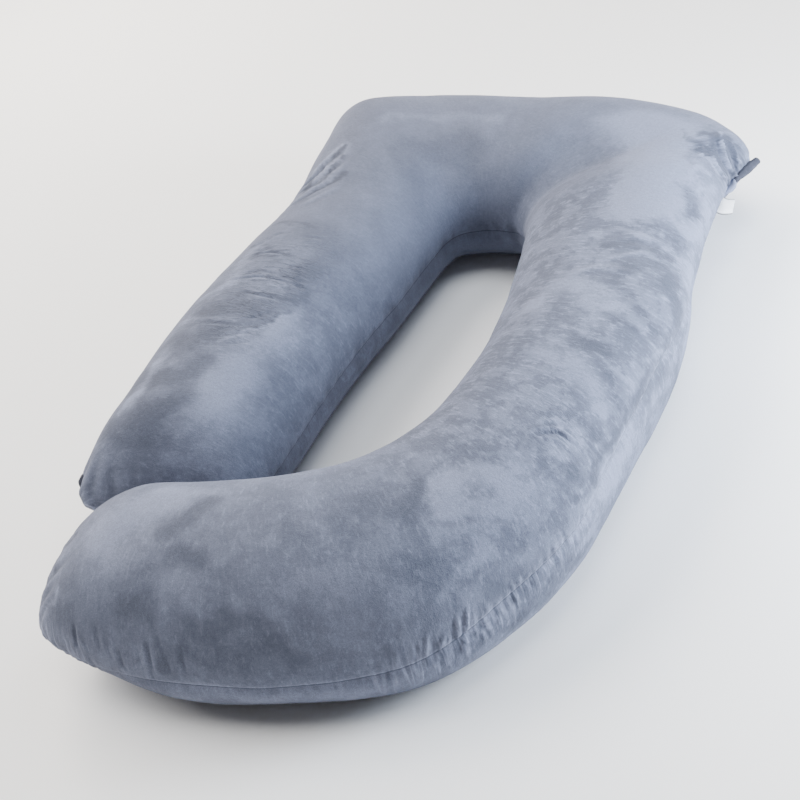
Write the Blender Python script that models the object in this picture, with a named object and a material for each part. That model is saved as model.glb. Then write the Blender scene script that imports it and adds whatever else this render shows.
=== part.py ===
"""A J-shaped pregnancy pillow of short-pile velvet, lying flat with its open side closed by the hook.

Metres, +Z up. The top bar is towards +Y, the straight arm is on -X, and the long arm on +X curves
round the foot end into the hook. The origin is on the surface it lies on, under the middle of its box.

The cover is a top and a bottom panel, sewn together round the whole outline and stuffed. Each row of
STATIONS is one cross-section, from the outer seam to the inner seam; a loft through all of them is
the pillow.
"""

import math
from collections import namedtuple

import bmesh
import bpy
import numpy as np

# The middle of the pillow's box, in the plan that the tables below are written in
PLAN_ORIGIN = (0.0049, 0.0055, 0.0)

# Cross-section of the stuffed tube
CROWN_ROUNDNESS = 2.2  # exponent of the top's superellipse: 2 is an ellipse, more is fuller
INNER_FLAT = 0.42  # share of the half width that lies flat on the floor, on the inner side
SEAM_PULL = 0.0045  # how far the stitching draws the cover in
SEAM_PULL_ANGLE = 7.0  # degrees round the section over which it recovers

# The two sewn ends
END_DEPTH = 0.120  # length over which the stuffing thins towards an end seam
END_LIFT = 0.230  # length over which the underside rises to it
END_CORNER = 0.060  # radius of an end's corners, seen from above
END_CORNER_POWER = 2.4
END_SEAM_SHARE = 0.74  # length of the end seam over the full width
END_THICKNESS = 0.008  # the two panels and their seam allowance

# The closed corner of the cover, a stiff band of seam that stands out at the top bar's right corner
EAR_UPPER = (0.411, 0.556)  # the two ends of its free edge, in plan
EAR_LOWER = (0.388, 0.500)
EAR_FADE = 0.12  # share of its length over which each end falls back to the seam
EAR_THICKNESS = 0.010
EAR_GROOVE = 0.006  # the cover draws in beside the band

# The care label, a folded loop of tape held in the outer seam below the ear
LABEL_MIDDLE_Y = 0.432  # from the origin, as are the rest of the label's places
LABEL_WIDTH = 0.046
LABEL_REACH = 0.025
LABEL_THICKNESS = 0.0016
LABEL_ROOT_THICKNESS = 0.0008
LABEL_CURL = 0.004  # how far its two short edges bend down
LABEL_COLUMNS = 12
LABEL_ROWS = 5
SEAT_GAP = 0.0004  # between the tape and the cover it is sewn into

VELVET_COLOUR = (0.27, 0.31, 0.38)
VELVET_ROUGHNESS = 0.85
TAPE_COLOUR = (0.86, 0.86, 0.84)
TAPE_ROUGHNESS = 0.55

# One cross-section each: where the outer and the inner seam are in plan, how high the crown and the
# two seams are, and how many rings the loft has from here to the next row
Station = namedtuple("Station", "name outer_x outer_y inner_x inner_y crown outer_seam inner_seam flat rings")
STATIONS = [
    Station("straight_arm_end", -0.409, -0.354, -0.118, -0.340, 0.195, 0.080, 0.085, 0.42, 6),
    Station("straight_arm_tip", -0.398, -0.285, -0.115, -0.275, 0.208, 0.085, 0.085, 0.42, 5),
    Station("straight_arm_low", -0.389, -0.190, -0.110, -0.190, 0.214, 0.090, 0.085, 0.42, 7),
    Station("straight_arm_mid", -0.382, -0.005, -0.096, -0.015, 0.215, 0.095, 0.085, 0.42, 8),
    Station("straight_arm_high", -0.352, 0.185, -0.072, 0.160, 0.210, 0.092, 0.085, 0.42, 8),
    Station("left_notch", -0.327, 0.335, -0.056, 0.270, 0.203, 0.092, 0.085, 0.42, 8),
    Station("left_shoulder", -0.334, 0.472, -0.047, 0.312, 0.210, 0.095, 0.085, 0.42, 8),
    Station("left_corner", -0.322, 0.632, -0.030, 0.338, 0.211, 0.095, 0.085, 0.42, 7),
    Station("top_left", -0.180, 0.659, -0.004, 0.349, 0.207, 0.092, 0.085, 0.42, 8),
    Station("top_mid", 0.010, 0.657, 0.018, 0.352, 0.208, 0.090, 0.085, 0.42, 8),
    Station("top_right", 0.190, 0.655, 0.042, 0.350, 0.208, 0.090, 0.085, 0.42, 8),
    Station("right_corner", 0.350, 0.616, 0.062, 0.343, 0.196, 0.092, 0.085, 0.36, 5),
    Station("corner_ear", 0.395, 0.560, 0.074, 0.332, 0.190, 0.095, 0.085, 0.36, 4),
    Station("ear_foot", 0.381, 0.506, 0.081, 0.318, 0.196, 0.096, 0.085, 0.36, 5),
    Station("right_shoulder", 0.381, 0.430, 0.088, 0.300, 0.204, 0.100, 0.085, 0.36, 6),
    Station("right_neck", 0.371, 0.315, 0.096, 0.253, 0.205, 0.107, 0.085, 0.38, 6),
    Station("long_arm_high", 0.387, 0.209, 0.106, 0.170, 0.209, 0.118, 0.082, 0.46, 6),
    Station("long_arm_mid", 0.401, 0.100, 0.117, 0.086, 0.215, 0.134, 0.080, 0.50, 8),
    Station("long_arm_low", 0.393, -0.055, 0.122, -0.040, 0.225, 0.146, 0.080, 0.50, 9),
    Station("hook_start", 0.371, -0.236, 0.106, -0.155, 0.231, 0.127, 0.085, 0.54, 4),
    Station("hook_shoulder", 0.366, -0.297, 0.097, -0.188, 0.234, 0.122, 0.085, 0.56, 7),
    Station("hook_bend", 0.311, -0.430, 0.068, -0.245, 0.237, 0.108, 0.085, 0.57, 9),
    Station("hook_turn", 0.206, -0.564, 0.015, -0.302, 0.240, 0.083, 0.085, 0.50, 8),
    Station("hook_low", 0.060, -0.626, -0.045, -0.332, 0.240, 0.080, 0.085, 0.38, 8),
    Station("hook_mid", -0.112, -0.650, -0.120, -0.346, 0.229, 0.083, 0.085, 0.34, 8),
    Station("hook_tip", -0.222, -0.642, -0.224, -0.358, 0.217, 0.085, 0.085, 0.34, 8),
    Station("hook_end", -0.325, -0.606, -0.324, -0.388, 0.200, 0.086, 0.085, 0.34, 0),
]

# Angles round a section's upper half, from the outer seam over the crown to the inner seam
UPPER_ANGLES = (0, 4, 10, 19, 30, 43, 57, 73, 90, 107, 123, 137, 150, 161, 170, 176, 180)
# The lower half has as many points: a quarter round down to the floor, the flat base, and up again
LOWER_ROUND = (0, 5, 14, 30, 52, 90)
LOWER_FLAT = (0.8, 0.4, 0.0, -0.4, -0.8)

# The main creases of the top panel: a straight soft trough in plan, from one end to the other
Crease = namedtuple("Crease", "name from_x from_y to_x to_y half_width depth")
CREASES = [
    Crease("notch_upper", -0.320, 0.320, -0.235, 0.410, 0.015, 0.013),
    Crease("notch_middle", -0.305, 0.290, -0.222, 0.392, 0.013, 0.009),
    Crease("notch_lower", -0.280, 0.262, -0.190, 0.365, 0.016, 0.007),
    Crease("ear_outer", 0.398, 0.540, 0.352, 0.592, 0.012, 0.009),
    Crease("ear_middle", 0.388, 0.500, 0.345, 0.562, 0.013, 0.010),
    Crease("ear_inner", 0.376, 0.462, 0.330, 0.495, 0.013, 0.008),
    Crease("bend_upper", 0.262, -0.222, 0.345, -0.250, 0.014, 0.010),
    Crease("bend_lower", 0.275, -0.262, 0.338, -0.282, 0.014, 0.008),
    Crease("hook_front_a", -0.242, -0.620, -0.238, -0.560, 0.014, 0.008),
    Crease("hook_front_b", -0.176, -0.634, -0.172, -0.570, 0.014, 0.008),
    Crease("hook_front_c", -0.126, -0.643, -0.122, -0.600, 0.012, 0.006),
    Crease("turn_front_a", 0.224, -0.557, 0.190, -0.500, 0.014, 0.009),
    Crease("turn_front_b", 0.255, -0.525, 0.222, -0.475, 0.013, 0.008),
    Crease("turn_front_c", 0.290, -0.475, 0.262, -0.440, 0.013, 0.007),
]


def smooth_rows(rows, knots, where):
    """Rows of numbers at knots, read at the places in where on one smooth curve (Catmull-Rom)."""
    slopes = np.gradient(rows, knots, axis=0)
    index = np.clip(np.searchsorted(knots, where, side="right") - 1, 0, len(knots) - 2)
    span = (knots[index + 1] - knots[index])[:, None]
    t = ((where - knots[index])[:, None]) / span
    return (
        (2 * t**3 - 3 * t**2 + 1) * rows[index]
        + (t**3 - 2 * t**2 + t) * span * slopes[index]
        + (-2 * t**3 + 3 * t**2) * rows[index + 1]
        + (t**3 - t**2) * span * slopes[index + 1]
    )


def ring_places(knots):
    """Where each ring lies along the tube, with the rings of each stretch evenly apart."""
    stretches = [
        np.linspace(start, stop, station.rings, endpoint=False)
        for station, start, stop in zip(STATIONS, knots, knots[1:])
    ]
    return np.concatenate([*stretches, knots[-1:]])


def lofted_frame():
    """For each ring: the plan places of the outer and inner seam, and the crown and seam heights."""
    rows = np.array([station[1:9] for station in STATIONS])
    steps = np.linalg.norm(np.diff(rows[:, 0:2], axis=0), axis=1)
    steps += np.linalg.norm(np.diff(rows[:, 2:4], axis=0), axis=1)
    knots = np.concatenate([[0.0], np.cumsum(steps / 2)])
    frame = smooth_rows(rows, knots, ring_places(knots))
    return frame[:, 0:2], frame[:, 2:4], frame[:, 4], frame[:, 5], frame[:, 6], frame[:, 7]


def rounded_cap(distance, radius, power):
    """0 at an end and 1 from radius inwards, along a superellipse."""
    left = np.clip(1 - distance / radius, 0, 1)
    return (1 - left**power) ** (1 / power)


def end_shares(middles):
    """How wide, how high and how deep each ring is, as shares of the full tube."""
    steps = np.linalg.norm(np.diff(middles, axis=0), axis=1)
    run = np.concatenate([[0.0], np.cumsum(steps)])
    to_end = np.minimum(run, run[-1] - run)
    width = END_SEAM_SHARE + (1 - END_SEAM_SHARE) * rounded_cap(to_end, END_CORNER, END_CORNER_POWER)
    return width, rounded_cap(to_end, END_DEPTH, 2.0), rounded_cap(to_end, END_LIFT, 2.0)


def superellipse(angle, power):
    """(across, up) on a unit superellipse at an angle in degrees."""
    c, s = math.cos(math.radians(angle)), math.sin(math.radians(angle))
    return math.copysign(abs(c) ** (2 / power), c), abs(s) ** (2 / power)


def seam_pull(angle):
    """How far the stitching draws the cover in, at an angle from a seam."""
    return SEAM_PULL * math.exp(-((angle / SEAM_PULL_ANGLE) ** 2))


def section(half_width, crown, seams, flat, height_share, depth_share):
    """One ring as (across, up) pairs, across from the middle towards the outer seam."""
    outer_seam, inner_seam = seams
    thick = END_THICKNESS / 2
    points = []
    for angle in UPPER_ANGLES:
        across, up = superellipse(angle, CROWN_ROUNDNESS)
        seam = outer_seam if angle <= 90 else inner_seam
        pull = seam_pull(min(angle, 180 - angle)) * height_share
        rise = (crown - seam) * height_share * up
        width = half_width - pull
        lift = max(rise, thick * min(1.0, up * 4))
        points.append((across * width, seam + lift))
    lower = [(180 - angle, inner_seam, -1) for angle in LOWER_ROUND[1:]]
    lower += [(share, None, 0) for share in reversed(LOWER_FLAT)]
    lower += [(angle, outer_seam, 1) for angle in reversed(LOWER_ROUND[1:])]
    for value, seam, side in lower:
        if side == 0:
            seam = (outer_seam + inner_seam) / 2
            across = value * (flat if value > 0 else INNER_FLAT) * half_width
            points.append((across, seam - max(seam * depth_share, thick)))
            continue
        angle = value if side > 0 else 180 - value
        c, s = math.cos(math.radians(angle)), math.sin(math.radians(angle))
        level = flat if side > 0 else INNER_FLAT
        across = side * (level + (1 - level) * abs(c)) * half_width
        across -= side * seam_pull(value) * abs(c) * height_share
        fall = max(seam * s * depth_share, thick * min(1.0, s * 4))
        points.append((across, seam - fall))
    return points


def tube_grid():
    """The pillow's surface as a grid of points, ring by ring, before its creases and ear."""
    outer, inner, crown, outer_seam, inner_seam, flat = lofted_frame()
    middles = (outer + inner) / 2
    across = (outer - inner) / 2
    half_widths = np.linalg.norm(across, axis=1)
    outward = across / half_widths[:, None]
    width_share, height_share, depth_share = end_shares(middles)
    grid = []
    for i, middle in enumerate(middles):
        half_width = half_widths[i] * width_share[i]
        seams = (outer_seam[i], inner_seam[i])
        ring = section(half_width, crown[i], seams, flat[i], height_share[i], depth_share[i])
        grid.append([(*(middle + outward[i] * reach), up) for reach, up in ring])
    return np.array(grid)


def ring_of(name):
    """The index of the ring that lies on a named row of STATIONS."""
    names = [station.name for station in STATIONS]
    return sum(station.rings for station in STATIONS[: names.index(name)])


def soft_bump(distance, half_width):
    """1 at a distance of 0, falling smoothly to 0 at half_width."""
    share = np.clip(np.abs(distance) / half_width, 0, 1)
    return (1 - share**2) ** 2


def stand_ear_out(grid):
    """Pulls the seam at the corner out into the flat band of the cover's closed corner."""
    upper, lower = np.array(EAR_UPPER), np.array(EAR_LOWER)
    run = lower - upper
    last = len(grid[0]) - 1
    for ring in grid[ring_of("right_corner") : ring_of("right_neck")]:
        along = (ring[0, :2] - upper) @ run / (run @ run)
        beyond = abs(along - 0.5) - 0.5
        share = 1 - np.clip(beyond / EAR_FADE, 0, 1)
        if share == 0:
            continue
        edge = upper + np.clip(along, 0, 1) * run
        inward = ring[2, :2] - edge
        inward /= np.linalg.norm(inward)
        for j in (2, last - 1):
            ring[j, :2] += inward * EAR_GROOVE * share
        for j, side in ((0, 0), (1, 1), (last, -1)):
            ring[j, :2] += (edge - ring[j, :2]) * share
            ring[j, 2] += (ring[0, 2] + side * EAR_THICKNESS / 2 - ring[j, 2]) * share


def grid_normals(grid):
    """Outward unit normals of a grid whose rings close on themselves."""
    along = np.gradient(grid, axis=0)
    around = np.roll(grid, -1, axis=1) - np.roll(grid, 1, axis=1)
    normals = np.cross(around, along)
    return normals / (np.linalg.norm(normals, axis=2, keepdims=True) + 1e-12)


def press_creases(grid):
    """Presses each crease of the top panel in as a soft trough that fades at its far end."""
    normals = grid_normals(grid)
    upper = np.zeros(grid.shape[:2])
    upper[:, 1 : len(UPPER_ANGLES) - 1] = 1
    depth = np.zeros(grid.shape[:2])
    for crease in CREASES:
        start = np.array([crease.from_x, crease.from_y])
        run = np.array([crease.to_x, crease.to_y]) - start
        offset = grid[:, :, :2] - start
        share = np.clip((offset @ run) / (run @ run), 0, 1)
        away = np.linalg.norm(offset - share[..., None] * run, axis=2)
        trough = soft_bump(away, 2 * crease.half_width) * (1 - 0.6 * share)
        depth = np.maximum(depth, crease.depth * trough)
    return grid - normals * (depth * upper)[..., None]


def skin(grid):
    """A closed mesh of the grid: quads between rings, and a strip of quads across each end seam."""
    bm = bmesh.new()
    rings = [[bm.verts.new(point) for point in ring] for ring in grid]
    count = len(rings[0])
    for ring, following in zip(rings, rings[1:]):
        for j in range(count):
            k = (j + 1) % count
            bm.faces.new((ring[j], following[j], following[k], ring[k]))
    half = count // 2
    for ring, turned in ((rings[0], False), (rings[-1], True)):
        for j in range(half):
            corners = [ring[j], ring[j + 1], ring[(count - j - 1) % count], ring[(count - j) % count]]
            corners = list(dict.fromkeys(corners))
            bm.faces.new(corners[::-1] if turned else corners)
    bmesh.ops.recalc_face_normals(bm, faces=bm.faces)
    return bm


def fabric(name, colour, roughness):
    """A plain material of the piece's colour."""
    material = bpy.data.materials.new(name)
    material.use_nodes = True
    shader = material.node_tree.nodes["Principled BSDF"]
    shader.inputs["Base Color"].default_value = (*colour, 1.0)
    shader.inputs["Roughness"].default_value = roughness
    shader.inputs["Metallic"].default_value = 0.0
    return material


def add_object(name, bm, material):
    """Puts a finished mesh into the scene under a node name."""
    mesh = bpy.data.meshes.new(name)
    bm.to_mesh(mesh)
    bm.free()
    mesh.shade_smooth()
    mesh.materials.append(material)
    piece = bpy.data.objects.new(name, mesh)
    bpy.context.scene.collection.objects.link(piece)
    return piece


def build_pillow():
    """The stuffed cover, one closed body."""
    grid = press_creases(tube_grid())
    stand_ear_out(grid)
    grid[:, :, 2] = np.maximum(grid[:, :, 2], 0.0)
    grid -= PLAN_ORIGIN
    add_object("pillow", skin(grid), fabric("grey blue velvet", VELVET_COLOUR, VELVET_ROUGHNESS))
    return grid


def build_label(grid):
    """The white tape, a thin sheet whose root follows the seam and whose short edges bend down."""
    seam = grid[ring_of("corner_ear") : ring_of("right_neck"), 0]
    seam = seam[np.argsort(seam[:, 1])]
    steps = np.linspace(-0.5, 0.5, LABEL_COLUMNS)
    root_y = LABEL_MIDDLE_Y + steps * LABEL_WIDTH
    root_x = np.interp(root_y, seam[:, 1], seam[:, 0])
    root_z = np.interp(root_y, seam[:, 1], seam[:, 2])
    bm = bmesh.new()
    sheets = []
    for side in (1, -1):
        sheet = []
        for k in range(LABEL_ROWS):
            out = k / (LABEL_ROWS - 1)
            thickness = LABEL_ROOT_THICKNESS + (LABEL_THICKNESS - LABEL_ROOT_THICKNESS) * min(1.0, 3 * out)
            row = []
            for step, x, y, z in zip(steps, root_x, root_y, root_z):
                bend = LABEL_CURL * (abs(2 * step) ** 3) * out
                place = (x + SEAT_GAP + out * LABEL_REACH, y, z - bend + side * thickness / 2)
                row.append(bm.verts.new(place))
            sheet.append(row)
        sheets.append(sheet)
    top, bottom = sheets
    for k in range(LABEL_ROWS - 1):
        for i in range(LABEL_COLUMNS - 1):
            for sheet in sheets:
                bm.faces.new((sheet[k][i], sheet[k + 1][i], sheet[k + 1][i + 1], sheet[k][i + 1]))
        for i in (0, LABEL_COLUMNS - 1):
            bm.faces.new((top[k][i], top[k + 1][i], bottom[k + 1][i], bottom[k][i]))
    for k in (0, LABEL_ROWS - 1):
        for i in range(LABEL_COLUMNS - 1):
            bm.faces.new((top[k][i], top[k][i + 1], bottom[k][i + 1], bottom[k][i]))
    bmesh.ops.recalc_face_normals(bm, faces=bm.faces)
    add_object("care_label", bm, fabric("white satin tape", TAPE_COLOUR, TAPE_ROUGHNESS))


def main():
    for piece in list(bpy.data.objects):
        bpy.data.objects.remove(piece)
    build_label(build_pillow())


main()
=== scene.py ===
"""The looks of a J-shaped pregnancy pillow: its velvet cover with every crease, its label, light and camera.

Metres, +Z up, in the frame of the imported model. The cover is lofted again at a few millimetres a
face through the same cross-sections as the solid, then creased, gathered and puckered.
"""

import itertools
import math
from collections import namedtuple
from types import SimpleNamespace

import bpy
import numpy as np
from mathutils import Matrix, Vector


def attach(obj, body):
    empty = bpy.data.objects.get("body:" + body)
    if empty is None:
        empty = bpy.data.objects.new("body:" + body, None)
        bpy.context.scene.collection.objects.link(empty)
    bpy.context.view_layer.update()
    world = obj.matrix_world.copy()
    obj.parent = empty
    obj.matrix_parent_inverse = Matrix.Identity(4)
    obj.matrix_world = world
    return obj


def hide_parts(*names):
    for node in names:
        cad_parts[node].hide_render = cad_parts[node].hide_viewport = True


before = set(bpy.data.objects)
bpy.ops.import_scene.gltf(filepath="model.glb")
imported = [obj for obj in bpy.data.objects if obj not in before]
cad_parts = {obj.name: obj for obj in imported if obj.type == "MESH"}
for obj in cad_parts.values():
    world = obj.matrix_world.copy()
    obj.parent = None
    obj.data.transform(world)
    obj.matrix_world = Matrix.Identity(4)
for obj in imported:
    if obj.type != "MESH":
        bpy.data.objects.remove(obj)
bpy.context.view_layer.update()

# The middle of the pillow's box, in the plan that the tables below are written in
PLAN_ORIGIN = np.array([0.0049, 0.0055, 0.0])

# Cross-section of the stuffed tube
CROWN_ROUNDNESS = 2.2  # exponent of the top's superellipse: 2 is an ellipse, more is fuller
INNER_FLAT = 0.42  # share of the half width that lies flat on the floor, on the inner side
SEAM_PULL = 0.0050  # how far the stitching draws the cover in
SEAM_PULL_REACH = 0.0065  # distance from the stitching over which the cover recovers

# The two sewn ends
END_DEPTH = 0.120  # length over which the stuffing thins towards an end seam
END_LIFT = 0.230  # length over which the underside rises to it
END_CORNER = 0.050  # radius of an end's corners, seen from above
END_CORNER_POWER = 2.4
END_SEAM_SHARE = 0.74  # length of the end seam over the full width
END_THICKNESS = 0.008  # the two panels and their seam allowance
END_THICKNESS_RISE = 4  # how soon away from the long seams an end has it
END_BOW = 0.016  # how far the stuffing pushes the middle of the hook's end seam out

# How finely the cover is meshed round a section
UPPER_POINTS = 82  # from seam to seam over the crown
OUTER_CROWDING = 2.2  # how many times denser they are at the outer seam than on the crown
INNER_CROWDING = 1.2
CROWDING_REACH = 0.09  # share of the way over the crown along which that fades
CROWDING_SAMPLES = 2001
OUTER_LOWER_POINTS = 10  # on the outer round of the underside
INNER_LOWER_POINTS = 6
FLAT_POINTS = 1
LOWER_CROWDING = 1.3

# One cross-section each: where the outer and the inner seam are in plan, how high the crown and the
# two seams are, the outer side's flat share, how far its lower panel bulges past the straight round,
# and how far apart the rings of the loft are from here on
Station = namedtuple(
    "Station",
    "name outer_x outer_y inner_x inner_y crown outer_seam inner_seam flat bulge step",
)
STATIONS = [
    Station("straight_arm_end", -0.409, -0.354, -0.118, -0.340, 0.195, 0.080, 0.085, 0.42, 0.000, 0.0030),
    Station("straight_arm_tip", -0.398, -0.285, -0.115, -0.275, 0.208, 0.085, 0.085, 0.42, 0.000, 0.0045),
    Station("straight_arm_low", -0.389, -0.190, -0.110, -0.190, 0.214, 0.090, 0.085, 0.42, 0.000, 0.0038),
    Station("straight_arm_mid", -0.382, -0.005, -0.096, -0.015, 0.215, 0.095, 0.085, 0.42, 0.000, 0.0026),
    Station("straight_arm_high", -0.352, 0.185, -0.072, 0.160, 0.210, 0.092, 0.085, 0.42, 0.000, 0.0032),
    Station("left_notch", -0.327, 0.335, -0.056, 0.270, 0.203, 0.092, 0.085, 0.42, 0.000, 0.0030),
    Station("left_shoulder", -0.334, 0.472, -0.047, 0.312, 0.210, 0.095, 0.085, 0.42, 0.000, 0.0050),
    Station("left_corner", -0.322, 0.632, -0.030, 0.338, 0.211, 0.095, 0.085, 0.42, 0.000, 0.0050),
    Station("top_left", -0.180, 0.659, -0.004, 0.349, 0.207, 0.092, 0.085, 0.42, 0.000, 0.0055),
    Station("top_mid", 0.010, 0.658, 0.018, 0.352, 0.210, 0.090, 0.085, 0.42, 0.000, 0.0055),
    Station("top_right", 0.190, 0.658, 0.042, 0.350, 0.211, 0.090, 0.085, 0.42, 0.000, 0.0040),
    Station("right_corner", 0.350, 0.616, 0.062, 0.343, 0.196, 0.092, 0.085, 0.36, -0.016, 0.0022),
    Station("corner_ear", 0.395, 0.560, 0.074, 0.332, 0.190, 0.095, 0.085, 0.36, -0.040, 0.0022),
    Station("ear_foot", 0.377, 0.500, 0.081, 0.318, 0.196, 0.096, 0.085, 0.36, -0.044, 0.0024),
    Station("right_shoulder", 0.377, 0.440, 0.088, 0.300, 0.204, 0.100, 0.085, 0.36, -0.044, 0.0032),
    Station("right_neck", 0.380, 0.335, 0.096, 0.253, 0.205, 0.107, 0.085, 0.38, -0.038, 0.0045),
    Station("long_arm_high", 0.388, 0.209, 0.106, 0.170, 0.209, 0.118, 0.082, 0.46, -0.012, 0.0046),
    Station("long_arm_mid", 0.401, 0.100, 0.117, 0.086, 0.215, 0.134, 0.080, 0.50, 0.002, 0.0046),
    Station("long_arm_low", 0.393, -0.055, 0.122, -0.040, 0.225, 0.146, 0.080, 0.50, 0.006, 0.0042),
    Station("hook_start", 0.371, -0.236, 0.106, -0.155, 0.231, 0.127, 0.085, 0.54, 0.001, 0.0030),
    Station("hook_shoulder", 0.366, -0.297, 0.097, -0.188, 0.234, 0.122, 0.085, 0.56, -0.002, 0.0028),
    Station("hook_bend", 0.311, -0.430, 0.068, -0.245, 0.237, 0.108, 0.085, 0.57, 0.006, 0.0025),
    Station("hook_turn", 0.206, -0.564, 0.015, -0.302, 0.240, 0.083, 0.085, 0.50, 0.006, 0.0034),
    Station("hook_low", 0.060, -0.626, -0.045, -0.332, 0.240, 0.080, 0.085, 0.38, 0.000, 0.0048),
    Station("hook_mid", -0.112, -0.650, -0.120, -0.346, 0.229, 0.083, 0.085, 0.34, 0.001, 0.0038),
    Station("hook_tip", -0.222, -0.642, -0.224, -0.358, 0.217, 0.085, 0.085, 0.34, -0.022, 0.0030),
    Station("hook_end", -0.328, -0.606, -0.319, -0.388, 0.200, 0.086, 0.085, 0.34, -0.030, 0.0),
]

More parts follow.
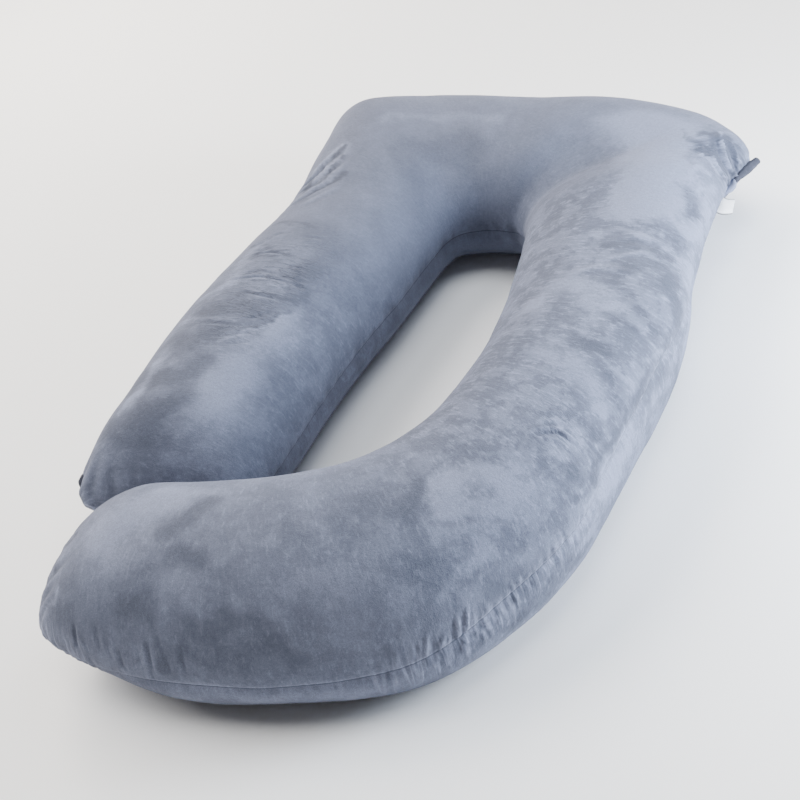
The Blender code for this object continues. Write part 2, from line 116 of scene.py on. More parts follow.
# Creases, ridges and gathers that show, each a soft ridge, or a trough where its height is below 0, on a
# line over the cover: along the outer seam from the straight arm's end, and round from that seam over
# the crown, or under it below 0. Rise and fall are the shares of the line over which it comes and goes
Fold = namedtuple("Fold", "half_width height rise fall path")
FOLDS = [
    # Pinched notch on the outer side of the left shoulder
    Fold(0.0067, -0.0078, 0.3, 0.45, [(0.676, 0.02), (0.694, 0.065), (0.719, 0.096), (0.735, 0.112),
        (0.755, 0.126), (0.78, 0.136), (0.801, 0.154), (0.83, 0.173)]),
    Fold(0.006, 0.0015, 0.2, 0.45, [(0.759, 0.106), (0.779, 0.128), (0.806, 0.151), (0.832, 0.168)]),
    Fold(0.005, 0.0022, 0.1, 0.45, [(0.713, 0.118), (0.73, 0.135), (0.753, 0.146), (0.778, 0.163),
        (0.826, 0.182)]),
    Fold(0.0045, -0.0039, 0.3, 0.4, [(0.668, 0.02), (0.686, 0.075), (0.7, 0.101), (0.705, 0.123),
        (0.724, 0.134), (0.745, 0.149), (0.771, 0.165), (0.817, 0.186)]),
    Fold(0.0045, 0.002, 0.1, 0.4, [(0.675, 0.111), (0.688, 0.126), (0.703, 0.145), (0.734, 0.159),
        (0.763, 0.175), (0.808, 0.19)]),
    Fold(0.0067, -0.0039, 0.3, 0.5, [(0.638, 0.025), (0.65, 0.075), (0.653, 0.108), (0.665, 0.126),
        (0.682, 0.14), (0.7, 0.156), (0.722, 0.171), (0.755, 0.188)]),
    Fold(0.008, 0.0016, 0.2, 0.5, [(0.632, 0.137), (0.648, 0.151), (0.667, 0.164), (0.693, 0.178),
        (0.726, 0.191)]),
    # Gathers that run up from the closed corner of the cover, lines beside it, and a tuck at the label
    Fold(0.0032, 0.0033, 0.25, 0.15, [(1.78, 0.066), (1.792, 0.054), (1.802, 0.039), (1.807, 0.028),
        (1.803, 0.014)]),
    Fold(0.003, 0.0027, 0.2, 0.2, [(1.807, 0.025), (1.815, 0.018), (1.815, 0.005)]),
    Fold(0.0043, -0.0051, 0.3, 0.15, [(1.788, 0.07), (1.804, 0.049), (1.815, 0.031), (1.818, 0.015),
        (1.825, 0.007)]),
    Fold(0.0036, 0.0057, 0.2, 0.1, [(1.757, 0.084), (1.787, 0.081), (1.802, 0.069), (1.818, 0.054),
        (1.83, 0.041), (1.835, 0.028), (1.813, -0.006)]),
    Fold(0.0038, -0.0039, 0.3, 0.2, [(1.778, 0.093), (1.8, 0.078), (1.822, 0.06), (1.837, 0.04),
        (1.842, 0.024)]),
    Fold(0.0034, 0.0045, 0.25, 0.15, [(1.824, 0.077), (1.845, 0.063), (1.858, 0.053), (1.865, 0.04),
        (1.865, 0.026), (1.833, -0.01)]),
    Fold(0.0043, -0.0063, 0.3, 0.2, [(1.865, 0.042), (1.863, 0.031), (1.86, 0.019), (1.804, -0.028)]),
    Fold(0.0034, 0.0024, 0.3, 0.3, [(1.818, 0.094), (1.839, 0.087), (1.859, 0.079), (1.859, 0.068)]),
    Fold(0.0036, 0.0024, 0.3, 0.3, [(1.805, 0.111), (1.827, 0.096), (1.845, 0.084)]),
    Fold(0.005, 0.0022, 0.3, 0.35, [(1.936, 0.091), (1.916, 0.093), (1.897, 0.09), (1.886, 0.081),
        (1.89, 0.068)]),
    Fold(0.0045, 0.0016, 0.3, 0.4, [(1.971, 0.069), (1.952, 0.067), (1.932, 0.062)]),
    Fold(0.0045, 0.0014, 0.3, 0.4, [(2.04, 0.102), (2.056, 0.088), (2.072, 0.07)]),
    Fold(0.005, -0.003, 0.2, 0.4, [(1.942, 0), (1.958, 0), (1.974, 0)]),
    # Long soft arches across the long arm
    Fold(0.007, 0.0014, 0.4, 0.4, [(2.121, 0.195), (2.11, 0.165), (2.123, 0.121), (2.125, 0.083),
        (2.132, 0.047)]),
    Fold(0.01, -0.0014, 0.4, 0.4, [(2.153, 0.165), (2.141, 0.117), (2.147, 0.075)]),
    Fold(0.006, 0.0012, 0.4, 0.4, [(2.214, 0.163), (2.188, 0.135), (2.164, 0.098), (2.166, 0.068)]),
    Fold(0.012, 0.0018, 0.40, 0.50, [(2.273, 0.204), (2.237, 0.172), (2.232, 0.128), (2.246, 0.084)]),
    # Small folds that fan out where the bend starts
    Fold(0.0031, 0.0037, 0.3, 0.3, [(2.65, 0.143), (2.631, 0.134), (2.618, 0.122), (2.608, 0.111),
        (2.604, 0.1), (2.602, 0.088), (2.599, 0.077), (2.6, 0.064)]),
    Fold(0.0023, 0.0015, 0.3, 0.4, [(2.598, 0.067), (2.602, 0.055), (2.605, 0.042)]),
    Fold(0.0031, -0.0028, 0.3, 0.35, [(2.657, 0.136), (2.635, 0.129), (2.622, 0.119), (2.611, 0.106),
        (2.609, 0.095), (2.61, 0.083), (2.61, 0.072)]),
    Fold(0.0027, 0.0028, 0.3, 0.35, [(2.662, 0.134), (2.647, 0.127), (2.635, 0.119), (2.629, 0.111),
        (2.623, 0.102), (2.622, 0.093), (2.621, 0.084), (2.62, 0.074)]),
    Fold(0.0027, 0.0013, 0.3, 0.4, [(2.655, 0.123), (2.641, 0.113), (2.636, 0.105), (2.631, 0.096)]),
    Fold(0.0031, 0.0016, 0.3, 0.4, [(2.622, 0.14), (2.605, 0.126), (2.594, 0.115), (2.589, 0.105),
        (2.586, 0.094)]),
    Fold(0.0025, -0.0014, 0.3, 0.4, [(2.622, 0.134), (2.609, 0.123), (2.599, 0.113), (2.593, 0.102),
        (2.592, 0.09)]),
    Fold(0.0027, 0.0011, 0.3, 0.4, [(2.601, 0.139), (2.59, 0.129), (2.578, 0.117), (2.571, 0.106),
        (2.569, 0.095)]),
    Fold(0.0025, -0.001, 0.3, 0.4, [(2.597, 0.127), (2.582, 0.115), (2.577, 0.103)]),
    Fold(0.0023, 0.001, 0.3, 0.4, [(2.574, 0.13), (2.567, 0.117), (2.563, 0.105), (2.561, 0.092)]),
    Fold(0.0023, 0.001, 0.3, 0.4, [(2.556, 0.123), (2.553, 0.11), (2.55, 0.098), (2.552, 0.087)]),
    Fold(0.0023, 0.0009, 0.3, 0.4, [(2.525, 0.114), (2.529, 0.1), (2.534, 0.088)]),
    Fold(0.0023, 0.001, 0.3, 0.4, [(2.558, 0.078), (2.562, 0.07), (2.568, 0.063)]),
    Fold(0.0023, 0.0009, 0.3, 0.4, [(2.611, 0.07), (2.612, 0.057), (2.613, 0.048)]),
    Fold(0.0036, -0.0011, 0.3, 0.4, [(2.586, 0.068), (2.584, 0.05), (2.581, 0.031)]),
    # Thin wavy creases across the straight arm
    Fold(0.003, -0.0022, 0.2, 0.3, [(0.514, 0.13), (0.518, 0.146), (0.531, 0.156), (0.544, 0.164),
        (0.537, 0.185)]),
    Fold(0.003, 0.001, 0.3, 0.4, [(0.517, 0.151), (0.526, 0.164), (0.542, 0.174)]),
    Fold(0.0028, -0.0026, 0.2, 0.2, [(0.478, 0.156), (0.484, 0.171), (0.486, 0.188), (0.484, 0.207),
        (0.48, 0.226)]),
    Fold(0.003, -0.002, 0.3, 0.3, [(0.494, 0.151), (0.493, 0.163), (0.493, 0.175)]),
    Fold(0.0028, -0.002, 0.3, 0.3, [(0.428, 0.172), (0.431, 0.182), (0.427, 0.2)]),
    Fold(0.0028, -0.0024, 0.2, 0.3, [(0.408, 0.148), (0.411, 0.167), (0.415, 0.188), (0.419, 0.207),
        (0.418, 0.229), (0.417, 0.25), (0.416, 0.274)]),
    Fold(0.0032, 0.001, 0.3, 0.3, [(0.42, 0.168), (0.419, 0.191), (0.423, 0.212)]),
    Fold(0.0045, -0.0028, 0.3, 0.3, [(0.417, 0.265), (0.416, 0.274), (0.413, 0.281)]),
    Fold(0.0028, -0.002, 0.3, 0.3, [(0.438, 0.2), (0.432, 0.22), (0.428, 0.237), (0.425, 0.254)]),
    Fold(0.0026, -0.002, 0.3, 0.3, [(0.46, 0.235), (0.455, 0.25), (0.454, 0.266)]),
    Fold(0.0028, -0.0024, 0.3, 0.3, [(0.418, 0.266), (0.427, 0.271), (0.434, 0.279)]),
    Fold(0.0028, -0.0026, 0.2, 0.3, [(0.38, 0.196), (0.375, 0.216), (0.372, 0.234), (0.372, 0.251),
        (0.372, 0.265)]),
    Fold(0.003, 0.0012, 0.3, 0.3, [(0.366, 0.221), (0.363, 0.242), (0.365, 0.264)]),
    Fold(0.0028, -0.0022, 0.3, 0.3, [(0.306, 0.237), (0.317, 0.249), (0.329, 0.259), (0.342, 0.269),
        (0.349, 0.277)]),
    Fold(0.0028, -0.002, 0.3, 0.3, [(0.278, 0.225), (0.29, 0.237), (0.299, 0.248), (0.306, 0.263)]),
    Fold(0.0028, -0.0018, 0.3, 0.3, [(0.254, 0.207), (0.264, 0.221), (0.272, 0.237), (0.28, 0.253),
        (0.294, 0.269)]),
    Fold(0.003, 0.0013, 0.3, 0.3, [(0.308, 0.141), (0.306, 0.166), (0.303, 0.19), (0.298, 0.215),
        (0.303, 0.236)]),
    Fold(0.0028, -0.002, 0.3, 0.3, [(0.297, 0.164), (0.293, 0.187), (0.294, 0.211), (0.293, 0.231),
        (0.295, 0.246)]),
    Fold(0.0028, -0.0016, 0.3, 0.3, [(0.244, 0.234), (0.256, 0.251), (0.267, 0.268)]),
    Fold(0.0034, -0.002, 0.3, 0.4, [(0.588, 0.141), (0.568, 0.174), (0.563, 0.189)]),
    Fold(0.0034, -0.0016, 0.3, 0.4, [(0.532, 0.22), (0.538, 0.232), (0.538, 0.25)]),
    # Puckers on both sides of the stitching, before the bend's end
    Fold(0.003, 0.0016, 0.3, 0.1, [(2.943, 0.034), (2.947, 0.019), (2.948, -0.002)]),
    Fold(0.0035, -0.0009, 0.3, 0.1, [(2.949, 0.036), (2.953, 0.02), (2.958, 0.004)]),
    Fold(0.003, 0.0022, 0.3, 0.1, [(2.931, 0.041), (2.937, 0.025), (2.944, -0.001)]),
    Fold(0.0042, -0.0012, 0.3, 0.1, [(2.928, 0.025), (2.931, 0.008), (2.936, -0.005)]),
    Fold(0.0034, 0.0032, 0.25, 0.25, [(2.913, 0.022), (2.92, 0.01), (2.924, -0.003), (2.93, -0.012),
        (2.936, -0.021)]),
    Fold(0.003, -0.0008, 0.3, 0.3, [(2.91, 0.017), (2.911, 0.009), (2.913, -0.002)]),
    Fold(0.0026, 0.0018, 0.3, 0.2, [(2.905, 0.019), (2.908, 0.007), (2.913, -0.004)]),
    Fold(0.0028, -0.001, 0.4, 0.15, [(2.893, 0.044), (2.899, 0.026), (2.903, 0)]),
    Fold(0.0041, 0.0026, 0.3, 0.15, [(2.888, 0.041), (2.891, 0.024), (2.894, -0.004)]),
    Fold(0.0026, -0.0008, 0.4, 0.15, [(2.88, 0.028), (2.883, 0.015), (2.887, -0.004)]),
    Fold(0.0034, 0.0036, 0.25, 0.3, [(2.869, 0.044), (2.875, 0.029), (2.881, 0.004), (2.886, -0.009),
        (2.896, -0.025), (2.906, -0.032)]),
    Fold(0.0042, -0.0009, 0.2, 0.4, [(2.869, -0.002), (2.878, -0.014), (2.888, -0.027)]),
    Fold(0.0038, 0.0014, 0.4, 0.1, [(2.843, 0.026), (2.847, 0.012), (2.849, -0.005)]),
    Fold(0.003, 0.0026, 0.1, 0.4, [(2.849, -0.005), (2.857, -0.014), (2.866, -0.025), (2.875, -0.031)]),
    Fold(0.0035, -0.0011, 0.1, 0.4, [(2.845, -0.007), (2.852, -0.019), (2.861, -0.034)]),
    Fold(0.0027, 0.0016, 0.1, 0.4, [(2.838, -0.007), (2.847, -0.016), (2.855, -0.028)]),
    Fold(0.0032, -0.001, 0.1, 0.4, [(2.832, -0.007), (2.84, -0.016), (2.848, -0.026)]),
    Fold(0.0031, 0.0026, 0.1, 0.4, [(2.819, -0.003), (2.828, -0.012), (2.835, -0.025), (2.843, -0.038)]),
    Fold(0.0036, -0.0009, 0.1, 0.4, [(2.813, -0.003), (2.821, -0.013), (2.83, -0.025)]),
    Fold(0.003, -0.001, 0.1, 0.4, [(2.802, -0.003), (2.808, -0.011), (2.815, -0.021)]),
    Fold(0.0031, 0.0014, 0.1, 0.4, [(2.795, -0.002), (2.802, -0.011), (2.808, -0.023)]),
    Fold(0.0045, -0.0007, 0.1, 0.4, [(2.786, -0.001), (2.795, -0.013), (2.801, -0.022)]),
    Fold(0.005, -0.0012, 0.1, 0.4, [(2.768, 0.005), (2.772, -0.007), (2.78, -0.016)]),
    Fold(0.0031, 0.0022, 0.1, 0.4, [(2.759, 0.007), (2.766, -0.007), (2.776, -0.027)]),
    Fold(0.0036, -0.0008, 0.1, 0.4, [(2.746, 0.003), (2.752, -0.007), (2.76, -0.016)]),
    Fold(0.0031, 0.0014, 0.1, 0.4, [(2.739, 0.008), (2.744, -0.007), (2.751, -0.017)]),
    Fold(0.0036, -0.0006, 0.1, 0.4, [(2.724, 0.01), (2.726, -0.006), (2.737, -0.016)]),
    Fold(0.0031, 0.0012, 0.1, 0.4, [(2.709, 0.008), (2.714, -0.006), (2.725, -0.017)]),
    Fold(0.0036, -0.0005, 0.3, 0.1, [(2.965, 0.038), (2.969, 0.023), (2.972, 0.009)]),
    Fold(0.0031, 0.001, 0.3, 0.1, [(2.976, 0.038), (2.979, 0.024), (2.982, 0.009)]),
    Fold(0.0036, -0.0005, 0.3, 0.1, [(2.998, 0.034), (3.001, 0.02), (3.004, 0.006)]),
    # The hook's front, where the cover is drawn together along the stitching
    Fold(0.0034, -0.0035, 0.4, 0.15, [(3.417, 0.069), (3.417, 0.051), (3.418, 0.038), (3.418, 0.025)]),
    Fold(0.0027, 0.0022, 0.3, 0.2, [(3.409, 0.047), (3.405, 0.037), (3.403, 0.025)]),
    Fold(0.0034, -0.0026, 0.4, 0.15, [(3.346, 0.049), (3.346, 0.033), (3.343, 0.015)]),
    Fold(0.0031, -0.0029, 0.4, 0.1, [(3.3, 0.077), (3.301, 0.057), (3.301, 0.039), (3.302, 0.021),
        (3.305, -0.001)]),
    Fold(0.0051, 0.0013, 0.4, 0.2, [(3.309, 0.079), (3.308, 0.055), (3.309, 0.026)]),
    Fold(0.0031, -0.0016, 0.4, 0.15, [(3.278, 0.058), (3.276, 0.042), (3.274, 0.018)]),
    Fold(0.0034, -0.0014, 0.4, 0.15, [(3.252, 0.075), (3.253, 0.052), (3.254, 0.02)]),
    Fold(0.0034, -0.0014, 0.4, 0.15, [(3.361, 0.068), (3.363, 0.048), (3.36, 0.027)]),
    Fold(0.0043, -0.0014, 0.4, 0.15, [(3.38, 0.08), (3.378, 0.06), (3.375, 0.036)]),
    # Short pleats at the sewn ends
    Fold(0.007, -0.0036, 0.15, 0.55, [(3.51, 0.063), (3.468, 0.121), (3.436, 0.159)]),
    Fold(0.007, -0.003, 0.15, 0.55, [(3.51, 0.037), (3.481, 0.078), (3.456, 0.114)]),
    Fold(0.006, -0.0024, 0.15, 0.55, [(3.51, 0.013), (3.484, 0.053), (3.456, 0.081)]),
    Fold(0.006, -0.0024, 0.15, 0.55, [(3.516, 0.087), (3.478, 0.155), (3.444, 0.187)]),
    Fold(0.006, -0.0021, 0.15, 0.55, [(3.516, 0.12), (3.471, 0.191), (3.441, 0.221)]),
    Fold(0.007, -0.0018, 0.15, 0.55, [(0.016, 0.02), (0.038, 0.064), (0.064, 0.099)]),
    Fold(0.007, -0.0018, 0.15, 0.55, [(0.041, 0.007), (0.049, 0.044), (0.075, 0.076)]),
    Fold(0.008, 0.0016, 0.30, 0.55, [(0.052, 0.004), (0.073, 0.035), (0.096, 0.066)]),
    Fold(0.006, -0.0014, 0.15, 0.55, [(0, 0.035), (0.032, 0.09), (0.061, 0.129)]),
    Fold(0.006, -0.0012, 0.15, 0.55, [(0, 0.075), (0.032, 0.128), (0.061, 0.164)]),
]

# Small puckers fill in between, over each stretch of the outer seam: from and to along it, how far they
# reach from the stitching, their height, and how crisp the pile's gathers are above and below the stitching
Gathering = namedtuple("Gathering", "start stop reach height above below")
GATHERINGS = [
    Gathering(0.00, 0.10, 0.030, 0.0024, 0.7, 1.0),
    Gathering(0.10, 1.70, 0.022, 0.0011, 0.7, 1.0),
    Gathering(1.70, 1.90, 0.034, 0.0024, 1.0, 1.0),
    Gathering(1.95, 2.65, 0.018, 0.0006, 0.3, 1.0),
    Gathering(2.65, 2.86, 0.028, 0.0017, 0.2, 1.0),
    Gathering(2.86, 3.02, 0.030, 0.0020, 0.8, 1.0),
    Gathering(3.02, 3.22, 0.018, 0.0007, 0.8, 0.4),
    Gathering(3.22, 3.40, 0.024, 0.0006, 0.8, 0.2),
    Gathering(3.40, 3.60, 0.032, 0.0026, 0.9, 0.5),
]
TIGHTEST_GATHERING = 0.0026  # height of the puckers where the pile's gathers are crispest
GATHERED_REACH = 1.3  # how much further than the puckers those gathers reach
GATHERING_BLEND = 0.03  # distance along the seam over which one stretch gives way to the next
PUCKER_SPACING = 0.013
PUCKER_SEED = 11
# Ranges in which the small puckers vary: shares of their stretch's reach and height, and of the spacing
PUCKER_REACHES = (0.4, 1.3)
PUCKER_HEIGHTS = (0.3, 1.2)
PUCKER_HALF_WIDTHS = (0.25, 0.45)
PUCKER_GAPS = (0.5, 1.4)
PUCKER_LEANS = (-0.3, 0.3)
PUCKER_FADE = 0.5  # share of its length over which a small pucker comes, and goes
INNER_PUCKER_SPACING = 0.016
INNER_PUCKER_REACH = 0.024
INNER_PUCKER_HEIGHT = 0.0014
INNER_PUCKER_SEED = 5
INNER_PUCKER_FADE = 0.8  # share of their reach over which they fade
STITCHED_FLAT = 0.005  # distance from the stitching within which folds fade out
CLEAR_OF_SEAM = 0.02  # distance from the stitching of cloth that shows none of it
MIN_STRETCH = 0.3  # least distance along the tube for a metre of the outer seam, inside the bends
PATH_PARTS = 6  # straight parts between two places of a path
LINE_REACH = 2.5  # half widths from its line within which a fold or a mark acts
# A fold across its line: how narrow its ridge is, and how deep, how narrow and how far out its side dips are
RIDGE_NARROWNESS = 1.6
SIDE_DIP = 0.22
SIDE_DIP_NARROWNESS = 2.4
SIDE_DIP_PLACE = 1.5

# Soft unevenness of the stuffing: how wide the lumps are and how high
LUMPS = [(0.150, 0.0035), (0.060, 0.0011), (0.024, 0.0004)]
LUMP_SHIFT = 7.3  # places the lumps' pattern on the pillow
LUMP_SEED = 1
NOISE_CELLS = 32  # lumps along each side of the block of noise, which repeats
LUMP_HEIGHTS = (0.004, 0.05)  # heights above the floor between which they come in

# Marks on the pile on lines like those of the folds, lighter above 0 and darker below: partly brushed pile,
# partly painted shade in creases, pleats and hollows, and painted highlights on ridges and lit faces
Stroke = namedtuple("Stroke", "half_width tone path")
STROKES = [
    # Right end of the top bar, its closed corner and the shoulder below it
    # Painted light where the corner faces the light
    Stroke(0.060, 0.95, [(1.7, 0.2), (1.89, 0.143), (2.01, 0.133)]),
    Stroke(0.030, 0.35, [(1.99, 0.15), (2.06, 0.147)]),
    Stroke(0.018, -0.60, [(1.96, 0.104), (1.98, 0.084), (2.01, 0.055)]),
    Stroke(0.006, 0.45, [(1.94, 0.091), (1.9, 0.092), (1.89, 0.082), (1.89, 0.064)]),
    Stroke(0.005, 0.45, [(1.97, 0.069), (1.95, 0.066), (1.93, 0.06)]),
    Stroke(0.005, 0.40, [(2.04, 0.105), (2.05, 0.088), (2.07, 0.072)]),
    Stroke(0.022, 0.35, [(1.92, 0.042), (2, 0.039), (2.06, 0.032)]),
    Stroke(0.018, 0.40, [(2.07, 0.053), (2.12, 0.031), (2.18, 0.012)]),
    # Painted shade in the corner's gathers and beside the ear band
    Stroke(0.010, -1.30, [(1.77, 0.092), (1.8, 0.082)]),
    Stroke(0.010, -1.17, [(1.81, 0.107), (1.84, 0.09)]),
    Stroke(0.010, -1.17, [(1.82, 0.089), (1.84, 0.071)]),
    Stroke(0.009, -1.04, [(1.82, 0.073), (1.81, 0.062)]),
    Stroke(0.010, -1.23, [(1.78, 0.074), (1.8, 0.053)]),
    Stroke(0.009, -1.43, [(1.81, 0.043), (1.82, 0.027), (1.83, 0.018)]),
    Stroke(0.013, -0.98, [(1.83, 0.056), (1.85, 0.036)]),
    Stroke(0.011, -0.98, [(1.79, 0.045), (1.8, 0.027), (1.8, 0.013)]),
    Stroke(0.013, -0.78, [(1.86, 0.028), (1.83, -0.007)]),
    Stroke(0.008, -0.78, [(1.77, 0.119), (1.77, 0.11)]),
    Stroke(0.005, -0.85, [(1.75, 0.155), (1.78, 0.142), (1.81, 0.118)]),
    Stroke(0.010, -0.45, [(1.86, 0.105), (1.89, 0.097)]),
    # Painted highlights on the gathers' ridges
    Stroke(0.0040, 0.91, [(1.76, 0.084), (1.8, 0.073), (1.82, 0.055), (1.83, 0.037), (1.83, 0.017)]),
    Stroke(0.0035, 0.78, [(1.78, 0.061), (1.8, 0.048), (1.81, 0.032), (1.8, 0.014)]),
    Stroke(0.0040, 0.65, [(1.81, 0.088), (1.79, 0.079), (1.81, 0.058)]),
    Stroke(0.0045, 0.78, [(1.81, 0.101), (1.85, 0.08), (1.85, 0.065), (1.87, 0.047), (1.86, 0.024)]),
    # Painted light and shade round the corner and the ear band
    Stroke(0.030, 0.45, [(1.73, 0.192), (1.91, 0.129), (2, 0.115)]),
    Stroke(0.010, -0.50, [(1.77, 0.074), (1.79, 0.053), (1.79, 0.034)]),
    Stroke(0.0045, -1.20, [(1.83, 0.016), (1.81, 0.012), (1.8, 0.013)]),
    Stroke(0.006, -0.50, [(1.87, 0.044), (1.87, 0.029), (1.87, 0.012)]),
    Stroke(0.0040, 0.60, [(1.81, 0.085), (1.83, 0.075), (1.85, 0.065)]),
    # Long arm
    Stroke(0.006, 0.30, [(2.13, 0.191), (2.11, 0.164), (2.12, 0.12), (2.13, 0.082), (2.13, 0.046)]),
    Stroke(0.012, -0.50, [(2.16, 0.158), (2.15, 0.108), (2.15, 0.07)]),
    Stroke(0.016, -0.35, [(2.08, 0.129), (2.08, 0.096), (2.1, 0.064)]),
    Stroke(0.005, 0.30, [(2.21, 0.163), (2.19, 0.135), (2.17, 0.097), (2.17, 0.074)]),
    Stroke(0.018, -0.60, [(2.23, 0.119), (2.19, 0.085), (2.21, 0.051)]),
    Stroke(0.014, -0.55, [(2.23, 0.059), (2.25, 0.037), (2.28, 0.015)]),
    Stroke(0.020, -0.30, [(2.27, 0.123), (2.3, 0.082), (2.33, 0.041)]),
    Stroke(0.024, 0.50, [(2.33, 0.224), (2.29, 0.196), (2.31, 0.14), (2.33, 0.113)]),
    Stroke(0.008, 0.30, [(2.35, 0.163), (2.37, 0.128), (2.38, 0.099)]),
    Stroke(0.008, -0.45, [(2.35, 0.112), (2.36, 0.089), (2.36, 0.064)]),
    Stroke(0.006, 0.35, [(2.35, 0.06), (2.36, 0.04), (2.35, 0.017)]),
    Stroke(0.005, 0.30, [(2.32, 0.051), (2.32, 0.03), (2.31, -0.003)]),
    Stroke(0.006, 0.35, [(2.29, 0.085), (2.3, 0.066), (2.31, 0.051)]),
    Stroke(0.006, 0.35, [(2.4, 0.137), (2.41, 0.116), (2.41, 0.096)]),
    Stroke(0.014, -0.55, [(2.43, 0.135), (2.42, 0.111), (2.42, 0.088)]),
    Stroke(0.012, -0.45, [(2.31, 0.011), (2.34, 0.015)]),
    Stroke(0.026, 0.35, [(2.47, 0.163), (2.48, 0.132), (2.5, 0.107)]),
    Stroke(0.024, 0.45, [(2.48, 0.113), (2.49, 0.09), (2.51, 0.07)]),
    Stroke(0.006, 0.45, [(2.44, 0.086), (2.45, 0.064), (2.45, 0.037)]),
    Stroke(0.005, 0.35, [(2.51, 0.07), (2.54, 0.046), (2.55, 0.02)]),
    Stroke(0.014, -0.45, [(2.36, -0.004), (2.42, 0.008), (2.46, 0.022)]),
    Stroke(0.022, -0.25, [(2.47, 0.066), (2.5, 0.045), (2.51, 0.02)]),
    Stroke(0.018, 0.35, [(2.68, -0.006), (2.62, -0.008), (2.55, -0.015)]),
    # A painted highlight on the lit edge just above the seam, and painted shade just inside it
    Stroke(0.0040, 0.50, [(2.31, 0.004), (2.40, 0.004), (2.48, 0.006), (2.56, 0.010), (2.62, 0.011),
        (2.67, 0.013)]),
    Stroke(0.0060, -0.40, [(2.38, 0.018), (2.45, 0.021), (2.53, 0.025), (2.60, 0.030), (2.66, 0.031)]),
    # Outer side below the seam
    Stroke(0.016, 0.30, [(2.4, -0.03), (2.44, -0.03), (2.49, -0.022)]),
    Stroke(0.024, 0.60, [(2.5, -0.012), (2.54, -0.022), (2.58, -0.027)]),
    Stroke(0.014, -0.35, [(2.3, -0.04), (2.31, -0.077), (2.37, -0.078)]),
    Stroke(0.012, 0.25, [(2.2, -0.009), (2.27, -0.033)]),
    Stroke(0.014, 0.25, [(2.62, -0.025), (2.66, -0.032)]),
    Stroke(0.012, -0.45, [(2.65, -0.062), (2.73, -0.048), (2.79, -0.043)]),
    Stroke(0.010, -0.45, [(2.8, -0.046), (2.87, -0.032)]),
    Stroke(0.020, 0.45, [(3.27, -0.017), (3.16, -0.015), (3.05, -0.021), (2.94, -0.022)]),
    # Bend
    Stroke(0.010, -0.40, [(2.56, 0.076), (2.56, 0.048), (2.55, 0.01)]),
    Stroke(0.006, 0.60, [(2.6, 0.113), (2.59, 0.093), (2.59, 0.064)]),
    Stroke(0.008, 0.60, [(2.61, 0.106), (2.61, 0.089), (2.61, 0.071)]),
    Stroke(0.009, 0.55, [(2.64, 0.101), (2.63, 0.083)]),
    Stroke(0.010, -0.40, [(2.65, 0.082), (2.63, 0.045), (2.6, 0.011)]),
    Stroke(0.036, 0.48, [(2.83, 0.165), (2.8, 0.141), (2.76, 0.109)]),
    Stroke(0.014, 0.45, [(2.82, 0.195), (2.77, 0.153), (2.71, 0.12)]),
    Stroke(0.012, 0.35, [(2.74, 0.127), (2.72, 0.101)]),
    Stroke(0.018, -0.30, [(2.79, 0.151), (2.77, 0.127)]),
    # Top of the hook
    Stroke(0.030, -0.30, [(2.97, 0.241), (2.92, 0.218), (2.87, 0.191)]),
    Stroke(0.014, -0.26, [(2.85, 0.225), (2.88, 0.201), (2.89, 0.174), (2.88, 0.151)]),
    Stroke(0.014, -0.33, [(3.09, 0.209), (3.06, 0.201)]),
    Stroke(0.016, -0.16, [(3.01, 0.224), (2.99, 0.19)]),
    Stroke(0.040, 0.30, [(3.12, 0.146), (3.04, 0.132), (2.96, 0.132)]),
    Stroke(0.035, 0.24, [(3.07, 0.071), (3.01, 0.075), (2.96, 0.078)]),
    Stroke(0.022, 0.15, [(3.04, 0.205), (3, 0.183)]),
    Stroke(0.018, -0.20, [(2.94, 0.143), (2.9, 0.11), (2.88, 0.077)]),
    Stroke(0.012, 0.30, [(2.9, 0.069), (2.87, 0.079), (2.83, 0.076)]),
    Stroke(0.016, 0.20, [(2.83, 0.104), (2.81, 0.057), (2.77, 0.033)]),
    Stroke(0.016, -0.16, [(2.78, 0.095), (2.77, 0.063), (2.75, 0.016)]),
    Stroke(0.014, -0.16, [(2.77, 0.014), (2.82, 0.023)]),
    Stroke(0.014, -0.16, [(3.19, 0.119), (3.17, 0.107), (3.13, 0.093)]),
    Stroke(0.010, 0.20, [(3.17, 0.129), (3.13, 0.114), (3.1, 0.099)]),
    Stroke(0.030, -0.16, [(3.23, 0.063), (3.17, 0.051), (3.12, 0.056)]),
    Stroke(0.006, -0.35, [(2.86, 0.174), (2.86, 0.151), (2.85, 0.137), (2.83, 0.131), (2.81, 0.118)]),
    Stroke(0.010, 0.30, [(2.83, 0.197), (2.85, 0.179), (2.85, 0.158), (2.83, 0.144)]),
    Stroke(0.012, 0.25, [(2.9, 0.166), (2.88, 0.156), (2.87, 0.138)]),
    # End and front of the hook
    Stroke(0.018, 0.18, [(3.28, 0.112), (3.27, 0.135), (3.25, 0.153)]),
    Stroke(0.014, 0.15, [(3.24, 0.125), (3.23, 0.112)]),
    Stroke(0.016, -0.20, [(3.24, 0.095), (3.2, 0.088)]),
    Stroke(0.040, 0.62, [(3.4, 0.185), (3.38, 0.233), (3.34, 0.273)]),
    Stroke(0.016, 0.30, [(3.35, 0.292), (3.29, 0.303), (3.24, 0.298)]),
    Stroke(0.026, 0.10, [(3.39, 0.118), (3.35, 0.154), (3.32, 0.187)]),
    Stroke(0.020, -0.50, [(3.3, 0.221), (3.27, 0.246), (3.25, 0.273)]),
    Stroke(0.014, -0.45, [(3.27, 0.186), (3.25, 0.174), (3.23, 0.177)]),
    Stroke(0.012, -0.20, [(3.35, 0.139), (3.32, 0.151), (3.28, 0.168)]),
    Stroke(0.020, -0.45, [(3.46, 0.069), (3.44, 0.062), (3.42, 0.061)]),
    Stroke(0.030, -0.25, [(3.43, 0.105), (3.39, 0.097), (3.34, 0.102)]),
